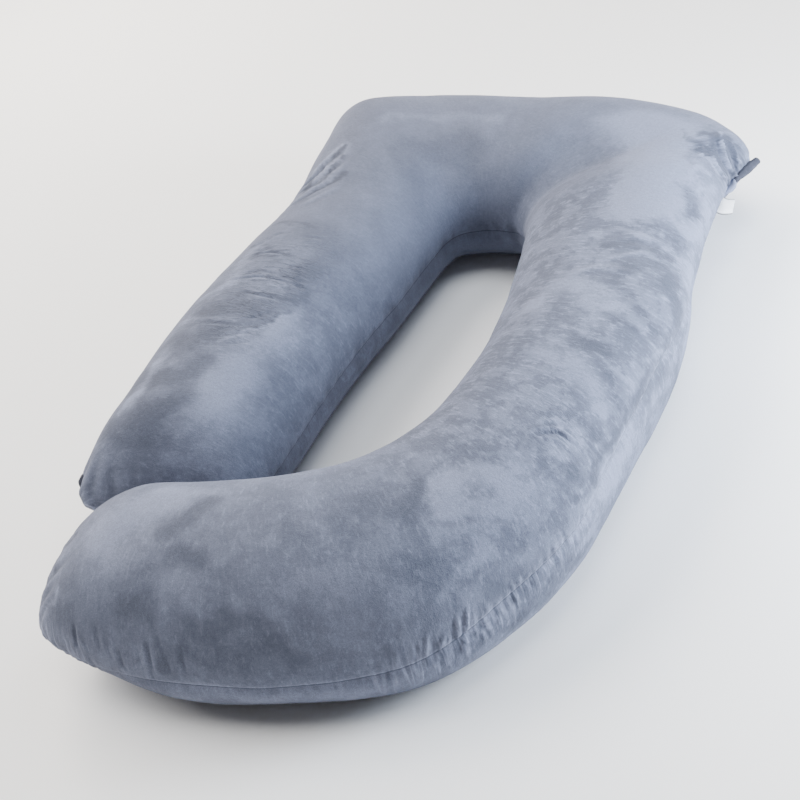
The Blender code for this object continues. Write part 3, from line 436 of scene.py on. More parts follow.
    Stroke(0.020, -0.35, [(3.33, 0.116), (3.3, 0.12)]),
    Stroke(0.007, -0.29, [(3.3, 0.096), (3.29, 0.063), (3.29, 0.023)]),
    Stroke(0.006, -0.20, [(3.25, 0.074), (3.26, 0.031)]),
    # Painted shade in the short pleats at the hook's end, and a painted highlight beside them
    Stroke(0.0050, -0.90, [(3.46, 0.177), (3.47, 0.157), (3.48, 0.138)]),
    Stroke(0.0040, -0.80, [(3.48, 0.122), (3.48, 0.106)]),
    Stroke(0.0035, 0.60, [(3.45, 0.098), (3.46, 0.077), (3.48, 0.056), (3.48, 0.042)]),
    # Straight arm
    Stroke(0.030, -0.48, [(0.32, 0.167), (0.34, 0.204), (0.338, 0.238)]),
    Stroke(0.026, -0.45, [(0.252, 0.134), (0.25, 0.187), (0.287, 0.203)]),
    Stroke(0.022, -0.50, [(0.169, 0.16), (0.165, 0.205), (0.203, 0.226)]),
    Stroke(0.014, -0.50, [(0.199, 0.117), (0.152, 0.122)]),
    Stroke(0.026, -0.45, [(0.107, 0.163), (0.11, 0.197), (0.131, 0.229)]),
    Stroke(0.026, -0.45, [(0.09, 0.118), (0.07, 0.157), (0.075, 0.189)]),
    Stroke(0.006, 0.35, [(0.308, 0.118), (0.304, 0.177), (0.307, 0.221)]),
    Stroke(0.006, 0.35, [(0.215, 0.13), (0.227, 0.158)]),
    Stroke(0.007, 0.45, [(0.106, 0.119), (0.138, 0.129), (0.145, 0.149)]),
    Stroke(0.010, 0.30, [(0.372, 0.122), (0.399, 0.151), (0.415, 0.175)]),
    Stroke(0.014, 0.35, [(0.497, 0.149), (0.444, 0.155), (0.397, 0.158)]),
    Stroke(0.034, 0.40, [(0.307, 0.305), (0.253, 0.282), (0.184, 0.277), (0.13, 0.26)]),
    Stroke(0.030, 0.30, [(0.215, 0.252), (0.15, 0.278), (0.097, 0.282)]),
    Stroke(0.028, 0.25, [(0.08, 0.244), (0.06, 0.201), (0.061, 0.255)]),
    Stroke(0.014, 0.35, [(0.303, 0.283), (0.345, 0.297), (0.366, 0.296)]),
    # Painted shade in the thin creases, and painted highlights beside them
    Stroke(0.0028, -0.59, [(0.477, 0.163), (0.48, 0.198), (0.478, 0.228)]),
    Stroke(0.0028, -0.51, [(0.428, 0.175), (0.43, 0.226), (0.428, 0.274)]),
    Stroke(0.0028, 0.51, [(0.4, 0.156), (0.406, 0.207), (0.406, 0.257)]),
    Stroke(0.0028, -0.59, [(0.372, 0.2), (0.377, 0.248), (0.377, 0.289)]),
    Stroke(0.0028, -0.59, [(0.513, 0.126), (0.501, 0.179), (0.494, 0.207)]),
    Stroke(0.0028, 0.59, [(0.255, 0.229), (0.296, 0.263), (0.34, 0.291)]),
    Stroke(0.0028, -0.51, [(0.281, 0.238), (0.313, 0.266), (0.357, 0.291)]),
    Stroke(0.0028, -0.51, [(0.585, 0.125), (0.579, 0.183), (0.572, 0.224)]),
    Stroke(0.020, -0.30, [(0.451, 0.257), (0.424, 0.281), (0.388, 0.289)]),
    Stroke(0.030, -0.30, [(0.567, 0.227), (0.53, 0.264), (0.477, 0.277)]),
    Stroke(0.014, 0.35, [(0.24, 0.135), (0.183, 0.136), (0.129, 0.134)]),
    # Notch in the left side, and the top bar
    Stroke(0.020, 0.40, [(0.74, 0.125), (0.778, 0.15), (0.823, 0.173)]),
    Stroke(0.014, 0.25, [(0.989, 0.249), (1.09, 0.257), (1.23, 0.226), (1.33, 0.223)]),
    Stroke(0.030, -0.25, [(0.892, 0.306), (1.04, 0.366), (1.23, 0.294)]),
    # Painted shade in the notch's creases, and painted highlights on its ridges
    Stroke(0.0046, -1.10, [(0.706, 0.109), (0.73, 0.116), (0.754, 0.132), (0.785, 0.153), (0.83, 0.173)]),
    Stroke(0.0038, -0.95, [(0.691, 0.108), (0.702, 0.125), (0.726, 0.139), (0.753, 0.156), (0.797, 0.177)]),
    Stroke(0.0045, -0.65, [(0.651, 0.124), (0.665, 0.135), (0.69, 0.145), (0.718, 0.164), (0.75, 0.183)]),
    Stroke(0.0030, 0.45, [(0.760, 0.106), (0.776, 0.126), (0.804, 0.149), (0.835, 0.167)]),
    Stroke(0.0032, 0.30, [(0.696, 0.123), (0.728, 0.138), (0.755, 0.150), (0.786, 0.168)]),
    Stroke(0.0030, 0.35, [(0.667, 0.125), (0.704, 0.149), (0.734, 0.162)]),
]

# The closed corner of the cover: a flattened roll of seam allowance and the small lobe below it. The
# straight arm's end has a small nub of the same kind
# A dark roll is made in the darker copy of the velvet, painted shade, with painted shade along its groove
Roll = namedtuple("Roll", "name half_width half_height tilt start_share stop_share dark path")
EAR_ROLLS = [
    Roll("ear_band", 0.0074, 0.0036, -40, 0.62, 0.80, True, [(0.3820, 0.500, 0.098), (0.3895, 0.520, 0.098),
         (0.3960, 0.536, 0.099), (0.4025, 0.551, 0.099), (0.4085, 0.5625, 0.099)]),
    Roll("ear_lobe", 0.0070, 0.0050, -20, 0.50, 0.45, False, [(0.3780, 0.506, 0.098), (0.3812, 0.489, 0.097),
         (0.3775, 0.475, 0.097), (0.3680, 0.463, 0.097)]),
    Roll("arm_nub", 0.0062, 0.0050, 0, 0.60, 0.60, True, [(-0.3880, -0.312, 0.114), (-0.3912, -0.322, 0.110),
         (-0.3912, -0.330, 0.104), (-0.3850, -0.337, 0.096)]),
]
ROLL_RINGS = 72
ROLL_SIDES = 36
ROLL_TAPER = 0.16  # share of its length over which each end narrows
ROLL_WRINKLE = 0.0007
ROLL_WRINKLE_SIZE = 0.006
ROLL_SEED = 41
GROOVE_SIDE = 15  # where round a roll the painted shade of its groove beside the cover is, and how many sides wide
GROOVE_WIDTH = 2.2
# Painted shade along a dark roll's groove, and painted light over the lobe where it faces away from the lamps
GROOVE_SHADE_TONE = 1.2
LOBE_LIGHT_TONE = 0.6
# What the velvet reads on a roll, the same all over
ROLL_PILE = {
    "gather": 0.0,
    "ruffled": 0.0,
    "grainy": 0.5,
    "creased": 0.0,
    "above_seam": -CLEAR_OF_SEAM,
    "from_seam": CLEAR_OF_SEAM,
}

# The white label, a thin doubled tape sewn into the outer seam: the two ends of its root and of its
# free edge, the upper end first
LABEL_ROOT = [(0.3680, 0.4610, 0.0990), (0.3700, 0.4130, 0.0990)]
LABEL_EDGE = [(0.3928, 0.4500, 0.0950), (0.3945, 0.4190, 0.0945)]
LABEL_THICKNESS = 0.0009
LABEL_CURL_UP = 0.0030  # how far the upper end of its free edge stands up
LABEL_CURL_DOWN = 0.0030  # how far the lower end droops
LABEL_CURL_SHARE = 0.30  # share of its length, from the upper end, that curls up
LABEL_DROOP_SHARE = 0.28  # share of its length, from the lower end, that droops
LABEL_BOW = 0.0055  # how far its upper and lower edges curve in
LABEL_BULGE = 0.0018  # how far its middle stands up
LABEL_ROWS = 40
LABEL_COLUMNS = 56
LABEL_EDGE_SHADE = 2.4  # columns over which painted shade darkens its upper and lower edges
TAPE = (0.95, 0.95, 0.96)
TAPE_THREADS = 1400.0  # scale of the weave
TAPE_UNEVENNESS = (120.0, 3.0, 0.6)  # scale, detail and roughness
TAPE_THREAD_TONE = 0.06
TAPE_SOFT_TONE = 0.12
# How dark the painted shade on the label's upper and lower edges is, in doublings
EDGE_SHADE_TONE = -3.0
TAPE_THREAD_RELIEF = 0.5
TAPE_DEPTH = 0.0003
TAPE_STRENGTH = 0.4
TAPE_SHADER = {"Roughness": 0.5, "Sheen Weight": 0.15}

# Camera, at the photograph's angle
CAMERA_PLACE = (1.0480, -1.9977, 1.7931)
CAMERA_RIGHT = (0.92343, 0.33308, -0.19064)
CAMERA_UP = (-0.07312, 0.64034, 0.76460)
LENS = 85.28
SENSOR = 36.0

# Slight differences in the colour of the light
NEUTRAL = (1.0, 1.0, 1.0)
COOL = (0.79, 0.88, 1.0)
WARM = (1.0, 0.92, 0.82)

FLOOR_SIZE = 12.0
FLOOR_COLOUR = (0.94, 0.94, 0.94)
FLOOR_ROUGHNESS = 0.8
WORLD_COLOUR = (1.0, 0.95, 0.88)
WORLD_STRENGTH = 0.150

# Soft boxes round the pillow: name, place, what each faces, diameter, power and colour
SOFT_BOXES = [
    ("low_right", (1.5, 0.4, 0.45), (0.3, 0.1, 0.1), 0.8, 86, COOL),
    ("over_right", (0.7, 0.5, 2.0), (0.3, 0.3, 0.1), 1.2, 18, COOL),
    ("back_left", (-1.5, 1.3, 1.1), (-0.3, 0.3, 0.1), 1.0, 36, WARM),
    ("left", (-1.6, -0.2, 1.0), (-0.3, -0.1, 0.1), 1.0, 7, NEUTRAL),
]
# Wide soft lights from further off: name, azimuth, elevation, strength and colour
FAR_LIGHTS = [
    ("far_left", 180, 45, 3.00, (1.0, 0.985, 0.97)),
    ("overhead", 0, 89, 1.15, NEUTRAL),
    ("far_back_left", 135, 45, 1.90, WARM),
    ("far_back_low", 135, 15, 0.74, WARM),
]
FAR_LIGHT_SPREAD = 35

# Velvet: the colour of the pile at rest, and how much its marks, brushed pile with painted shade and
# highlights, lighten or darken it, in doublings
PILE = (0.111, 0.1245, 0.175)
SHADED_EAR_PILE = (0.044, 0.046, 0.062)  # a darker copy of the pile for the ear band and the arm's nub: painted shade
MARK_LIMIT = 0.80  # marks stronger than this are all alike
MARK_TONE = 0.72
# How ruffled the pile is along the outer seam: a distance along it, and a share
RUFFLED = [
    (0.0, 0.4), (0.4, 0.5), (0.6, 0.15), (1.6, 0.15), (1.75, 0.4),
    (1.88, 0.4), (1.98, 1.0), (2.7, 1.0), (2.95, 0.5), (3.6, 0.3),
]
# How much the grain of the pile shows, likewise
GRAINY = [
    (0.0, 1.1), (0.3, 0.9), (0.6, 0.4), (1.6, 0.3), (2.0, 0.6),
    (2.5, 0.8), (2.8, 1.1), (3.1, 1.3), (3.6, 1.4),
]
# Patches of hair-thin creases, darkened with painted shade: their middles along the outer seam and round from
# it, and their half sizes
Patch = namedtuple("Patch", "along length around width strength")
CREASED = [
    Patch(0.43, 0.085, 0.225, 0.055, 1.0),
    Patch(0.30, 0.050, 0.240, 0.050, 0.7),
    Patch(1.84, 0.060, 0.070, 0.060, 0.6),
    Patch(2.60, 0.060, 0.110, 0.045, 0.4),
]
RIDGE_HIGHLIGHT_TONE = 200.0  # painted highlight per metre of height on a fold's ridge
RIDGE_TONE_LIMIT = 0.60
# Painted shade per metre of depth in a fold's trough
TROUGH_SHADE_TONE = 130.0
TROUGH_TONE_LIMIT = 0.40
# How wide and how deep the waves are that make the edges of the marks uneven
MARK_WANDER = [(0.040, 0.008), (0.015, 0.005), (0.007, 0.003)]
MARK_SEED = 21
MARK_NARROWNESS = 1.08
MARK_EDGE_POWER = 3  # more gives the marks harder edges

# Patterns in the velvet: scale, detail and roughness
CLOUDS = (14.0, 4.0, 0.62)
PATCHES = (26.0, 7.0, 0.70)
PEBBLES = (230.0, 3.0, 0.65)
GRAIN = (900.0, 1.0, 0.5)
# Patterns drawn out by brushing: scales along the tube and round it, detail and roughness
STREAKS = (110.0, 22.0, 3.0, 0.6)
FINE_STREAKS = (330.0, 90.0, 2.0, 0.55)
THREADS = (210.0, 48.0, 3.0, 0.65)
HAIR_CREASES = (58.0, 15.0, 4.0, 0.62)
GATHER_LINES = (75.0, 9.0, 1.5, 0.5)
HAIR_WIDTH = 0.045  # widths of the lines that two of them draw, in their own noise
CREST_WIDTH = 0.10
PATCH_EDGE = 0.035
THREAD_EDGES = (0.03, 0.16)
# How much each lightens the pile, in doublings
CLOUD_TONE = 0.35
PATCH_TONE = 0.20
RUFFLED_EDGE_TONE = 0.30
RUFFLED_PATCH_TONE = 0.35
STREAK_TONE = 0.55
THREAD_TONE = 0.50
FINE_STREAK_TONE = 0.30
PEBBLE_TONE = 0.62
# A painted highlight on the crests of the small gathers
CREST_HIGHLIGHT_TONE = 0.75
GATHER_TONE = 0.9
# Painted shade in the hair-thin creases
CREASE_SHADE_TONE = -0.50
# Painted shade along the stitching, and a painted highlight on its upper lip
STITCH_SHADE_TONE = -0.7
LIP_HIGHLIGHT_TONE = 0.36
# Distances from the stitching between which painted shade darkens the pile, and a painted highlight lightens
# its upper lip
STITCH_EDGES = (0.0004, 0.0014)
LIP_START = (0.0010, 0.0022)
LIP_STOP = (0.0024, 0.0060)
# How much each raises the pile
GRAIN_RELIEF = 0.6
PEBBLE_RELIEF = 1.2
FINE_STREAK_RELIEF = 0.6
CREST_RELIEF = 1.2
CREASE_RELIEF = -2.4
PILE_DEPTH = 0.0014
PILE_STRENGTH = 0.40
VELVET_SHADER = {
    "Roughness": 0.9,
    "Specular IOR Level": 0.16,
    "Sheen Weight": 0.12,
    "Sheen Roughness": 0.45,
    "Sheen Tint": (0.82, 0.84, 1.0, 1.0),
}


def smooth_rows(rows, knots, where):
    """Rows of numbers at knots, read at the places in where on one smooth curve (Catmull-Rom)."""
    slopes = np.gradient(rows, knots, axis=0)
    index = np.clip(np.searchsorted(knots, where, side="right") - 1, 0, len(knots) - 2)
    span = (knots[index + 1] - knots[index])[:, None]
    share = ((where - knots[index])[:, None]) / span
    return (
        (2 * share**3 - 3 * share**2 + 1) * rows[index]
        + (share**3 - 2 * share**2 + share) * span * slopes[index]
        + (-2 * share**3 + 3 * share**2) * rows[index + 1]
        + (share**3 - share**2) * span * slopes[index + 1]
    )


def run_along(path):
    """The distance along a path to each of its points."""
    lengths = np.linalg.norm(np.diff(path, axis=0), axis=1)
    return np.concatenate([[0.0], np.cumsum(lengths)])


def smooth_step(value, low, high):
    """0 at low and 1 at high, smooth at both."""
    share = np.clip((value - low) / (high - low), 0, 1)
    return share * share * (3 - 2 * share)


def smooth_noise(points, size, seed):
    """Smooth noise between -1 and 1 at points, with lumps about size across."""
    lattice = np.random.default_rng(seed).uniform(-1, 1, (NOISE_CELLS, NOISE_CELLS, NOISE_CELLS))
    place = points / size
    corner = np.floor(place).astype(int)
    share = place - corner
    share = share * share * (3 - 2 * share)
    total = np.zeros(points.shape[:-1])
    for steps in itertools.product((0, 1), repeat=3):
        weight = np.where(steps, share, 1 - share).prod(axis=-1)
        index = (corner + steps) % NOISE_CELLS
        total += weight * lattice[tuple(np.moveaxis(index, -1, 0))]
    return total


def ring_places(knots, rows):
    """Where each ring lies along the tube, each stretch divided by its own step along the outer seam."""
    outer = np.linalg.norm(np.diff(rows[:, 0:2], axis=0), axis=1)
    stretches = []
    for station, length, start, stop in zip(STATIONS, outer, knots, knots[1:]):
        rings = math.ceil(max(length, stop - start) / station.step)
        stretches.append(np.linspace(start, stop, rings, endpoint=False))
    return np.concatenate([*stretches, knots[-1:]])


def lofted_frame():
    """For each ring: the plan places of the two seams, the heights, the flat share and the bulge."""
    rows = np.array([station[1:10] for station in STATIONS])
    steps = np.linalg.norm(np.diff(rows[:, 0:2], axis=0), axis=1)
    steps += np.linalg.norm(np.diff(rows[:, 2:4], axis=0), axis=1)
    knots = np.concatenate([[0.0], np.cumsum(steps / 2)])
    return smooth_rows(rows, knots, ring_places(knots, rows))


def rounded_cap(distance, radius, power=2.0):
    """0 at an end and 1 from radius inwards, along a circle or a superellipse."""
    left = np.clip(1 - distance / radius, 0, 1)
    return (1 - left**power) ** (1 / power)


def upper_angles():
    """Angles over the crown from the outer seam to the inner one, crowded together at the seams."""
    share = np.linspace(0, 1, CROWDING_SAMPLES)
    density = 1 + OUTER_CROWDING * np.exp(-((share / CROWDING_REACH) ** 2))
    density += INNER_CROWDING * np.exp(-(((1 - share) / CROWDING_REACH) ** 2))
    total = np.cumsum(density)
    total = (total - total[0]) / (total[-1] - total[0])
    return math.pi * np.interp(np.linspace(0, 1, UPPER_POINTS), total, share)


def lower_angles(count):
    """Angles round the underside from a seam down to the flat, a little crowded at the seam."""
    share = np.linspace(0, 1, count + 1)[1:]
    return math.pi / 2 * share**LOWER_CROWDING


def end_thickness(share):
    """Half the thickness that an end keeps: none at its long seams, and all of it soon away from them."""
    return END_THICKNESS / 2 * min(1.0, share * END_THICKNESS_RISE)


def lowered(form, seam, share):
    """The height of a point under a seam, a share of the way down from it to the floor."""
    return seam - np.maximum(seam * share * form.depth, end_thickness(share))


def sections(form):
    """How far out and how high the points of each ring are, over the crown and back on the underside."""
    rows = []
    for angle in upper_angles():
        side = math.cos(angle)
        level = form.outer_seam if side > 0 else form.inner_seam
        out = math.copysign(abs(side) ** (2 / CROWN_ROUNDNESS), side)
        lift = max(math.sin(angle), 0.0) ** (2 / CROWN_ROUNDNESS)
        rise = np.maximum((form.crown - level) * form.height * lift, end_thickness(lift))
        rows.append((form.half_width * out, level + rise))
    for angle in lower_angles(INNER_LOWER_POINTS):
        out = INNER_FLAT + (1 - INNER_FLAT) * math.cos(angle)
        rows.append((-form.half_width * out, lowered(form, form.inner_seam, math.sin(angle))))
    for place in np.linspace(1, -1, FLAT_POINTS + 2)[1:-1]:
        out = -place * np.where(place > 0, INNER_FLAT, form.flat)
        middle_seam = (form.outer_seam + form.inner_seam) / 2
        rows.append((form.half_width * out, lowered(form, middle_seam, 1.0)))
    for angle in lower_angles(OUTER_LOWER_POINTS)[::-1]:
        out = form.flat + (1 - form.flat) * math.cos(angle)
        bulge = form.bulge * form.height * math.sin(2 * angle)
        rows.append((form.half_width * out + bulge, lowered(form, form.outer_seam, math.sin(angle))))
    reach, up = zip(*rows)
    return np.array(reach).T, np.array(up).T


class Cover:
    """The cover's grid of points, ring by ring, and where each point is along and round the tube."""

    def __init__(self):
        loft = lofted_frame()
        outer, inner = loft[:, 0:2], loft[:, 2:4]
        form = SimpleNamespace()
        form.crown, form.outer_seam, form.inner_seam, form.flat, form.bulge = loft[:, 4:].T
        middles = (outer + inner) / 2
        across = (outer - inner) / 2
        half_width = np.linalg.norm(across, axis=1)
        outward = across / half_width[:, None]
        run = run_along(middles)
        to_end = np.minimum(run, run[-1] - run)
        corner = rounded_cap(to_end, END_CORNER, END_CORNER_POWER)
        form.half_width = half_width * (END_SEAM_SHARE + (1 - END_SEAM_SHARE) * corner)
        form.height = rounded_cap(to_end, END_DEPTH)
        form.depth = rounded_cap(to_end, END_LIFT)
        reach, up = sections(form)
        plan = middles[:, None, :] + outward[:, None, :] * reach[:, :, None]
        lengthwise = np.stack([outward[:, 1], -outward[:, 0]], axis=1)
        bow = END_BOW * (1 - np.clip((run[-1] - run) / END_DEPTH, 0, 1))[:, None]
        bow = bow * (1 - (reach / form.half_width[:, None]) ** 2)
        plan += lengthwise[:, None, :] * bow[:, :, None]
        self.points = np.concatenate([plan, up[:, :, None]], axis=2)
        self.fullness = form.height[:, None]
        self.crest = np.zeros(self.points.shape[:2])
        self.measure()

    def measure(self):
        """Works out each point's distance along the two seams and round the ring from each of them."""
        points = self.points
        steps = np.linalg.norm(np.roll(points, -1, axis=1) - points, axis=2)
        round_from_outer = np.concatenate([np.zeros((len(points), 1)), np.cumsum(steps, axis=1)], axis=1)
        girth = round_from_outer[:, -1:]
        from_outer = round_from_outer[:, :-1]
        self.from_outer = np.where(from_outer > girth / 2, from_outer - girth, from_outer)
        self.from_inner = from_outer[:, UPPER_POINTS - 1 : UPPER_POINTS] - from_outer
        outer = points[:, 0]
        inner = points[:, UPPER_POINTS - 1]
        self.along_outer = run_along(outer)[:, None]
        self.along_inner = run_along(inner)[:, None]
        self.place = np.stack([self.along_outer + 0 * self.from_outer, self.from_outer], axis=-1)
        steps = np.linalg.norm(np.gradient(points, axis=0), axis=2)
        self.stretch = np.maximum(steps / np.gradient(self.along_outer, axis=0), MIN_STRETCH)
        self.normals = self.current_normals()

    def current_normals(self):
        along = np.gradient(self.points, axis=0)
        around = np.roll(self.points, -1, axis=1) - np.roll(self.points, 1, axis=1)
        normals = np.cross(around, along)
        return normals / (np.linalg.norm(normals, axis=2, keepdims=True) + 1e-12)

    def push(self, distance):
        """Moves every point along its normal, outwards where distance is more than 0."""
        self.points = self.points + self.normals * distance[..., None]

    def crease(self, distance):
        """Moves every point along its normal, and keeps the height, which gives ridges a painted highlight
        and troughs painted shade.
        """
        self.push(distance)
        self.crest += distance


def draw_seams_in(cover):
    """Draws the cover in along the stitching."""
    outer = np.exp(-np.abs(cover.from_outer) / SEAM_PULL_REACH)
    inner = np.exp(-np.abs(cover.from_inner) / SEAM_PULL_REACH)
    cover.push(-SEAM_PULL * (outer + inner) * cover.fullness)


def soft_ridge(share):
    """A ridge across its own width: 1 on its line, near 0 at a share of 1, and a little below 0 beside it."""
    dips = SIDE_DIP * np.exp(-((SIDE_DIP_NARROWNESS * (share - SIDE_DIP_PLACE)) ** 2))
    return np.exp(-((RIDGE_NARROWNESS * share) ** 2)) - dips


def smooth_path(places):
    """A path through the places, rounded between them."""
    places = np.array(places)
    knots = run_along(places)
    return smooth_rows(places, knots, np.linspace(0, knots[-1], PATH_PARTS * (len(places) - 1) + 1))


def near_line(cover, path, half_width):
    """The points near a line on the cover, how far they are from it, and their shares of its length."""
    path = smooth_path(path)
    reach = LINE_REACH * half_width
    low, high = path.min(axis=0) - reach / MIN_STRETCH, path.max(axis=0) + reach / MIN_STRETCH
    along, around = cover.place[..., 0], cover.place[..., 1]
    inside = (along > low[0]) & (along < high[0]) & (around > low[1]) & (around < high[1])
    places = cover.place[inside]
    scale = np.stack([cover.stretch[inside], np.ones(len(places))], axis=-1)
    starts = run_along(path)
    starts /= starts[-1]
    away = np.full(len(places), np.inf)
    share = np.zeros(len(places))
    for place, following, start, stop in zip(path, path[1:], starts, starts[1:]):
        run = (following - place) * scale
        offset = (places - place) * scale
        part = np.clip((offset * run).sum(axis=1) / (run * run).sum(axis=1), 0, 1)
        gap = np.linalg.norm(offset - part[:, None] * run, axis=1)
        nearer = gap < away
        away[nearer] = gap[nearer]
        share[nearer] = (start + part * (stop - start))[nearer]
    return inside, away, share


def gathered_puckers():
    """The small uneven puckers of every gathering, each a fold across the stitching."""
    chance = np.random.default_rng(PUCKER_SEED)
    folds = []
    for gathering in GATHERINGS:
        place = gathering.start
        while place < gathering.stop:
            up, down = gathering.reach * chance.uniform(*PUCKER_REACHES, 2)
            height = gathering.height * chance.uniform(*PUCKER_HEIGHTS) * chance.choice([-1, 1])
            half_width = PUCKER_SPACING * chance.uniform(*PUCKER_HALF_WIDTHS)
            lean = chance.uniform(*PUCKER_LEANS)
            path = [(place - lean * down, -down), (place, 0.0), (place + lean * up, up)]
            folds.append(Fold(half_width, height, PUCKER_FADE, PUCKER_FADE, path))
            place += PUCKER_SPACING * chance.uniform(*PUCKER_GAPS)
    return folds


def press_folds(cover):
    """Adds every fold and pucker to the cover, with nothing on the stitching itself."""
    lift = np.zeros(cover.points.shape[:2])
    for fold in FOLDS + gathered_puckers():
        inside, away, share = near_line(cover, fold.path, fold.half_width)
        taper = smooth_step(share, 0, fold.rise) * smooth_step(1 - share, 0, fold.fall)
        lift[inside] += fold.height * taper * soft_ridge(away / fold.half_width)
    beside_inner = np.repeat(cover.along_inner, 3, axis=1)
    inner = smooth_noise(beside_inner / INNER_PUCKER_SPACING, 1.0, INNER_PUCKER_SEED)
    fade = smooth_step(1 - np.abs(cover.from_inner) / INNER_PUCKER_REACH, 0, INNER_PUCKER_FADE)
    lift += INNER_PUCKER_HEIGHT * inner[:, None] * fade
    for distance in (cover.from_outer, cover.from_inner):
        lift *= smooth_step(np.abs(distance), 0.0, STITCHED_FLAT)
    cover.crease(lift)


def add_lumps(cover):
    """Makes the stuffing a little uneven, but not where it lies on the floor."""
    lift = np.zeros(cover.points.shape[:2])
    for seed, (size, height) in enumerate(LUMPS, LUMP_SEED):
        lift += height * smooth_noise(cover.points + LUMP_SHIFT, size, seed)
    cover.push(lift * smooth_step(cover.points[..., 2], *LUMP_HEIGHTS))


def build_cover():
    cover = Cover()
    add_lumps(cover)
    draw_seams_in(cover)
    press_folds(cover)
    cover.points[..., 2] = np.maximum(cover.points[..., 2], 0.0)
    return cover


def wandering(cover):
    """The cover with each point's place on it moved a little, so that the marks get uneven edges."""
    shift = np.zeros(cover.place.shape)
    for wave, (size, distance) in enumerate(MARK_WANDER):
        for axis in (0, 1):
            seed = MARK_SEED + 2 * wave + axis
            shift[..., axis] += distance * smooth_noise(cover.points, size, seed)
    return SimpleNamespace(place=cover.place + shift, stretch=cover.stretch)


def painted_and_brushed_tone(cover):
    """How much lighter or darker the pile is at each point: painted highlights on the folds' ridges, painted
    shade in their troughs, and the table's marks of brushed pile, painted shade and painted highlights.
    """
    # Painted highlights on the ridges and painted shade in the troughs
    tone = np.clip(RIDGE_HIGHLIGHT_TONE * cover.crest, 0, RIDGE_TONE_LIMIT)
    tone += np.clip(TROUGH_SHADE_TONE * cover.crest, -TROUGH_TONE_LIMIT, 0)
    brushed = wandering(cover)
    # The table's marks: brushed pile, painted shade and painted highlights
    for stroke in STROKES:
        inside, away, _ = near_line(brushed, stroke.path, stroke.half_width)
        across = MARK_NARROWNESS * away / stroke.half_width
        tone[inside] += stroke.tone * np.exp(-(across**MARK_EDGE_POWER))
    return tone


def gathered(cover):
    """How closely the cloth is gathered at each point: 1 in the tightest gathering, 0 away from the seam."""
    share = np.zeros(cover.place.shape[:2])
    along = cover.along_outer
    for gathering in GATHERINGS:
        started = smooth_step(along - gathering.start, -GATHERING_BLEND, GATHERING_BLEND)
        here = started * (1 - smooth_step(along - gathering.stop, -GATHERING_BLEND, GATHERING_BLEND))
        fade = np.exp(-((cover.from_outer / (GATHERED_REACH * gathering.reach)) ** 2))
        side = np.where(cover.from_outer > 0, gathering.above, gathering.below)
        share += here * fade * side * gathering.height / TIGHTEST_GATHERING
    return share


def creased(cover):
    """How many hair-thin creases each point has: 1 in the middle of a creased patch."""
    share = np.zeros(cover.place.shape[:2])
    for patch in CREASED:
        away = (cover.along_outer - patch.along) ** 2 / patch.length**2
        away = away + (cover.from_outer - patch.around) ** 2 / patch.width**2
        share += patch.strength * np.exp(-away)
    return share


def smooth_mesh(name, points, faces):
    """A smooth-shaded mesh, from points in the plan that the tables are written in."""
    mesh = bpy.data.meshes.new(name)
    mesh.from_pydata((points - PLAN_ORIGIN).reshape(-1, 3).tolist(), [], faces)
    mesh.update()
    mesh.shade_smooth()
    return mesh


def read_along(cover, rows):
    """A share for each point, from rows of a distance along the outer seam and a share."""
    return np.interp(cover.along_outer, *zip(*rows)) + 0 * cover.from_outer


def cover_mesh(cover):
    """A closed mesh of the cover's grid, with each point's tone and place for the material."""
    rings, count = cover.points.shape[:2]
    index = np.arange(rings * count).reshape(rings, count)
    following = np.roll(index, -1, axis=1)
    quads = np.stack([index[:-1], index[1:], following[1:], following[:-1]], axis=-1).reshape(-1, 4)
    faces = quads.tolist()
    half = UPPER_POINTS - 1
    for ring, turned in ((index[0], False), (index[-1], True)):
        faces += end_faces(ring.tolist(), half, turned)
    mesh = smooth_mesh("velvet_cover", cover.points, faces)
    along = (cover.along_outer + cover.along_inner) / 2 + 0 * cover.from_outer
    add_value(mesh, "nap_and_painted_light", painted_and_brushed_tone(cover))
    add_value(mesh, "gather", gathered(cover))
    add_value(mesh, "ruffled", read_along(cover, RUFFLED))
    add_value(mesh, "grainy", read_along(cover, GRAINY))
    add_value(mesh, "creased", creased(cover))
    add_place(mesh, "by_seam", np.stack([*np.moveaxis(cover.place, -1, 0), 0 * along], axis=-1))
    add_value(mesh, "above_seam", cover.from_outer)
    add_value(mesh, "from_seam", np.minimum(np.abs(cover.from_outer), np.abs(cover.from_inner)))
    add_place(mesh, "brush", np.stack([along, cover.from_outer, 0 * along], axis=-1))
    return mesh


def add_value(mesh, name, values):
    """Stores a number for each vertex, for the material to read."""
    mesh.attributes.new(name, "FLOAT", "POINT").data.foreach_set("value", values.ravel())


def add_place(mesh, name, places):
    """Stores a place for each vertex, for the material to read."""
    mesh.attributes.new(name, "FLOAT_VECTOR", "POINT").data.foreach_set("vector", places.ravel())


def end_faces(ring, half, turned):
    """Faces that close a ring, between its upper run and its lower one."""
    upper = ring[: half + 1]
    lower = [ring[0], *ring[:half:-1], ring[half]]
    faces = []
    for place in range(half):
        low = lower[round(place * (len(lower) - 1) / half)]
        low_next = lower[round((place + 1) * (len(lower) - 1) / half)]
        corners = list(dict.fromkeys([upper[place], upper[place + 1], low_next, low]))
        if len(corners) > 2:
            faces.append(corners[::-1] if turned else corners)
    return faces


